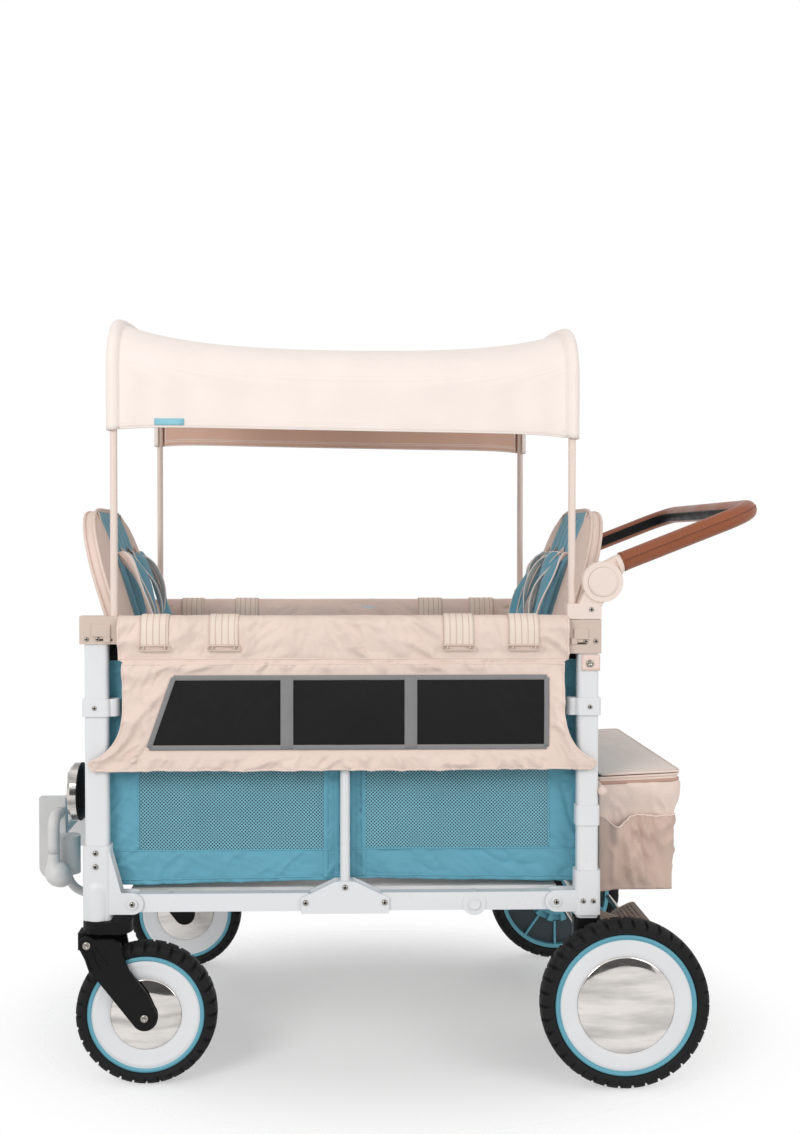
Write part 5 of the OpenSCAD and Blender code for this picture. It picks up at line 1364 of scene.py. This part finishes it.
lid_top, lid_base = [], []
lid_half, lid_x0, lid_x1 = BASKET_HALF + 0.6, BASKET_X0 - 0.6, BASKET_X1 + 0.6
for j in range(61):
    v = 2 * j / 60 - 1
    top_row, base_row = [], []
    for i in range(25):
        u = 2 * i / 24 - 1
        cu = max(abs(u) - 0.78, 0) / 0.22
        cv = max(abs(v) - 0.935, 0) / 0.065
        pinch = 1 - 0.3 * min(cu, cv) ** 2 * 0.36
        x = mix(lid_x0, lid_x1, 0.5 + 0.5 * u * (1 - 0.035 * min(1, cv) ** 2))
        y = v * lid_half * (1 - 0.012 * min(1, cu) ** 2) * pinch ** 0.02
        crown = 4.2 * (1 - abs(u) ** 4) * (1 - abs(v) ** 8) + 0.8 * wave(x / 35, y / 60) * (1 - abs(u) ** 4)
        climb = 7 * (x - BASKET_X0) / (BASKET_X1 - BASKET_X0)
        top_row.append((x, y, 533.8 + crown + climb))
        base_row.append((x, y, 531.5 + climb))
    lid_top.append(top_row)
    lid_base.append(base_row)
# the lid's cloth is lighter than the bag's as painted light on the top
lid = piece("basket_cover", *shell(lid_top, lid_base), "grey_beige", "lid")
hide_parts("basket_lid")
piece("basket_cover_piping", *sweep(rim_line(lid_top, 0.6), ring(2.0, 8), (0, 0, 1), True), "beige", "lid")


# Leather grip: stitches and the dark strip along its inner side

HUB_X, HUB_Z, ARM_Y, HANDLE_LEN, HANDLE_BEND, ARM_LIFT = 456.0, 889.0, 288.0, 310.0, 60.0, 17.5
HANDLE_TILT = math.radians(21.5)
GRIP_START, GRIP_R = 49.5, 17.5


def handle_line(side_shift, lift, step):
    """Line along the grip, shifted inwards across it and lifted from its middle."""
    flat = []
    bend = HANDLE_BEND + side_shift
    corner_x, corner_y = HANDLE_LEN - HANDLE_BEND, ARM_Y - HANDLE_BEND
    run = GRIP_START + 3
    while run < corner_x:
        flat.append((run, -(ARM_Y + side_shift)))
        run += step
    turns = max(4, int(bend * math.pi / 2 / step))
    for k in range(turns + 1):
        a = math.pi / 2 * k / turns
        flat.append((corner_x + bend * math.sin(a), -(corner_y + bend * math.cos(a))))
    run = -corner_y + step
    while run < corner_y:
        flat.append((HANDLE_LEN + side_shift, run))
        run += step
    for k in range(turns + 1):
        a = math.pi / 2 * (1 - k / turns)
        flat.append((corner_x + bend * math.sin(a), corner_y + bend * math.cos(a)))
    run = corner_x - step
    while run > GRIP_START + 3:
        flat.append((run, ARM_Y + side_shift))
        run -= step
    c, s = math.cos(HANDLE_TILT), math.sin(HANDLE_TILT)
    up = ARM_LIFT + lift
    return [Vector((HUB_X + a * c - up * s, y, HUB_Z + a * s + up * c)) for a, y in flat]


stitches = []
line = handle_line(GRIP_R - 0.1, 2.6, 4.6)
for a, b in zip(line, line[1:]):
    start_p, end_p = mix(a, b, 0.16), mix(a, b, 0.84)
    stitches.append(sweep([start_p, end_p], ring(0.7, 5), (0, 0, 1)))
joined("grip_stitches", stitches, "thread", "push_bar")
piece("grip_seam", *sweep(handle_line(GRIP_R - 0.3, 0.6, 9), ring(0.9, 6), (0, 0, 1)), "leather", "push_bar")
strip_line = handle_line(0.6 - GRIP_R, 0.0, 9)
middle = Vector((HUB_X + 150, 0, HUB_Z + 60))
inward = [(middle - p).normalized() for p in strip_line]
piece("grip_inner_strip", *sweep(strip_line, tape(19, 2.4), inward), "black_plastic", "push_bar")
collars = []
for side in (-1, 1):
    c, s = math.cos(HANDLE_TILT), math.sin(HANDLE_TILT)
    for a in (GRIP_START + 0.8, GRIP_START + 3.6):
        p = Vector((HUB_X + a * c - ARM_LIFT * s, side * ARM_Y, HUB_Z + a * s + ARM_LIFT * c))
        loop = []
        for k in range(28):
            t = 2 * math.pi * k / 28
            loop.append(p + Vector((-s * math.sin(t), math.cos(t), c * math.sin(t))) * (GRIP_R - 0.6))
        collars.append(sweep(loop, ring(1.3, 6), (c, 0, s), True))
joined("grip_collars", collars, "leather", "push_bar")


# Small trim

tabs = []
for side in (-1, 1):
    rows = [[(x, side * (314.4 + 0.8 * ease((x - 440) / 10)), z) for x in (419, 426, 433, 440, 447, 452)]
            for z in (731, 738, 746, 754, 760)]
    pts = [p for row in rows for p in row]
    tabs.append((pts, grid_faces(5, 6)))
tab = joined("rear_leg_tabs", tabs, "pink_tape", "rear_frame", turn_out=False)
thicken(tab, 1.4)
SNAP = [(6.5, 0), (6.3, 1.4), (5, 2.4), (3, 2.6), (2.4, 1.6), (0.05, 1.4)]
snaps = [revolve(SNAP, (434, side * 315.2, 744), side, 24) for side in (-1, 1)]
joined("rear_leg_snaps", snaps, "steel", "rear_frame")


def raised(x0, x1, z0, z1, base, top, side):
    """Flat moulded relief with sloping edges on a side face."""
    points = []
    for out, inset in ((base, 0.0), (top - 0.8, 0.3), (top, 1.4)):
        low, high = (x0 + inset, z0 + inset), (x1 - inset, z1 - inset)
        for x, z in (low, (high[0], low[1]), high, (low[0], high[1])):
            points.append((x, side * out, z))
    return points, grid_faces(3, 4, loop_cols=True) + [(8, 9, 10, 11), (3, 2, 1, 0)]


LATCH_BASE = 315.6
for name, body, plates, pin in (
        ("front_latch", "front_frame", [(-445, -411, 793, 815), (-424, -411, 783, 796)],
         (-432, -408, 785.5, 790)),
        ("rear_latch", "rear_frame", [(404, 431, 787, 806), (399, 411, 778, 790)], (400, 428, 778, 782))):
    relief = [raised(*plate, LATCH_BASE, 318.6, side) for plate in plates for side in (-1, 1)]
    joined(name, relief, "beige_plastic", body, smooth=False)
    pins = [raised(*pin, LATCH_BASE, 317.4, side) for side in (-1, 1)]
    joined(name + "_pin", pins, "dark_steel", body, smooth=False)

straps = []
for x, y in ((112, -150), (112, 150)):
    straps.append(sweep([(x, y, 327), (x + 3, y, 318), (x + 5, y, 312)], tape(20, 1.6), (1, 0, 0)))
joined("floor_straps", straps, "black_cloth", "rear_lower_link")


# Flaps and canopy, which fold up with the frame: each gets a mesh of its own

for obj in FLAP_PIECES:
    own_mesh(obj)
for obj in CANOPY_PIECES:
    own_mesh(obj)


# Stage: floor, light and camera

def stage_sheet(name, corners, mat):
    mesh = bpy.data.meshes.new(name)
    mesh.from_pydata(corners, [], [(0, 1, 2, 3)])
    mesh.materials.append(mat)
    obj = add(name, mesh)
    return obj


def pale_floor():
    """Pale floor that fades into the white background away from the wagon."""
    mat, tree, shader, where = start("pale_floor", 0.8, {"Base Color": (0.93, 0.93, 0.93, 1)})
    wide = node(tree, "ShaderNodeVectorMath", {0: where, 1: (1.3, 1.75, 1.0)}, operation="MULTIPLY")
    away = node(tree, "ShaderNodeVectorMath", {0: wide.outputs["Vector"]}, operation="LENGTH")
    fade = remap(tree, away.outputs["Value"], 0.45, 1.15, 0.1, interpolation_type="SMOOTHSTEP")
    clear = node(tree, "ShaderNodeBsdfTransparent")
    both = node(tree, "ShaderNodeMixShader", {0: fade, 1: shader.outputs["BSDF"], 2: clear.outputs["BSDF"]})
    tree.links.new(both.outputs["Shader"], tree.nodes["Material Output"].inputs["Surface"])
    return mat


stage_sheet("floor", [(-3, -3, 0), (3, -3, 0), (3, 3, 0), (-3, 3, 0)], pale_floor())

world = bpy.data.worlds.new("studio")
bpy.context.scene.world = world
world.use_nodes = True
sky = world.node_tree
plain = sky.nodes["Background"]
plain.inputs["Color"].default_value = (1, 1, 1, 1)
rays = node(sky, "ShaderNodeLightPath")
direct = math_node(sky, "MAXIMUM", rays.outputs["Is Camera Ray"], rays.outputs["Is Glossy Ray"])
direct = math_node(sky, "MAXIMUM", direct, rays.outputs["Is Transmission Ray"])
sky.links.new(remap(sky, direct, 0.0, 1.0, 0.66), plain.inputs["Strength"])


LIT_POINT = Vector((0, 0, 0.6))


def soft_light(name, where, size, watts):
    data = bpy.data.lights.new(name, "AREA")
    data.shape = "SQUARE"
    data.size = size
    data.energy = watts
    lamp = add(name, data)
    lamp.location = where
    lamp.rotation_euler = (LIT_POINT - Vector(where)).to_track_quat("-Z", "Y").to_euler()


soft_light("key", (-1.9, -2.9, 2.25), 1.3, 44)
soft_light("top", (0.3, 0.4, 3.6), 2.6, 3)
soft_light("fill", (2.1, -2.3, 1.7), 1.6, 19)

card_mat = start("dark_card", 0.5, {"Base Color": (0.12, 0.12, 0.12, 1)})[0]
card = stage_sheet("dark_card", [(-3, -4.4, 0.2), (3, -4.4, 0.2), (3, -4.4, 2.2), (-3, -4.4, 2.2)], card_mat)
card.visible_camera = False
card.visible_diffuse = False
card.visible_shadow = False

PHOTO_HEIGHT = 1134
eye_data = bpy.data.cameras.new("eye")
eye_data.sensor_width = 36
eye_data.lens = 1238.118 / PHOTO_HEIGHT * 36
eye_data.shift_x = 41.304 / PHOTO_HEIGHT
eye = add("eye", eye_data)
eye.location = (MID - 0.0276, -2.4939, 0.9634)
eye.rotation_euler = (math.radians(90 - 1.2619), 0, math.radians(-1.3564))
bpy.context.scene.camera = eye
bpy.context.scene.view_settings.view_transform = "Standard"
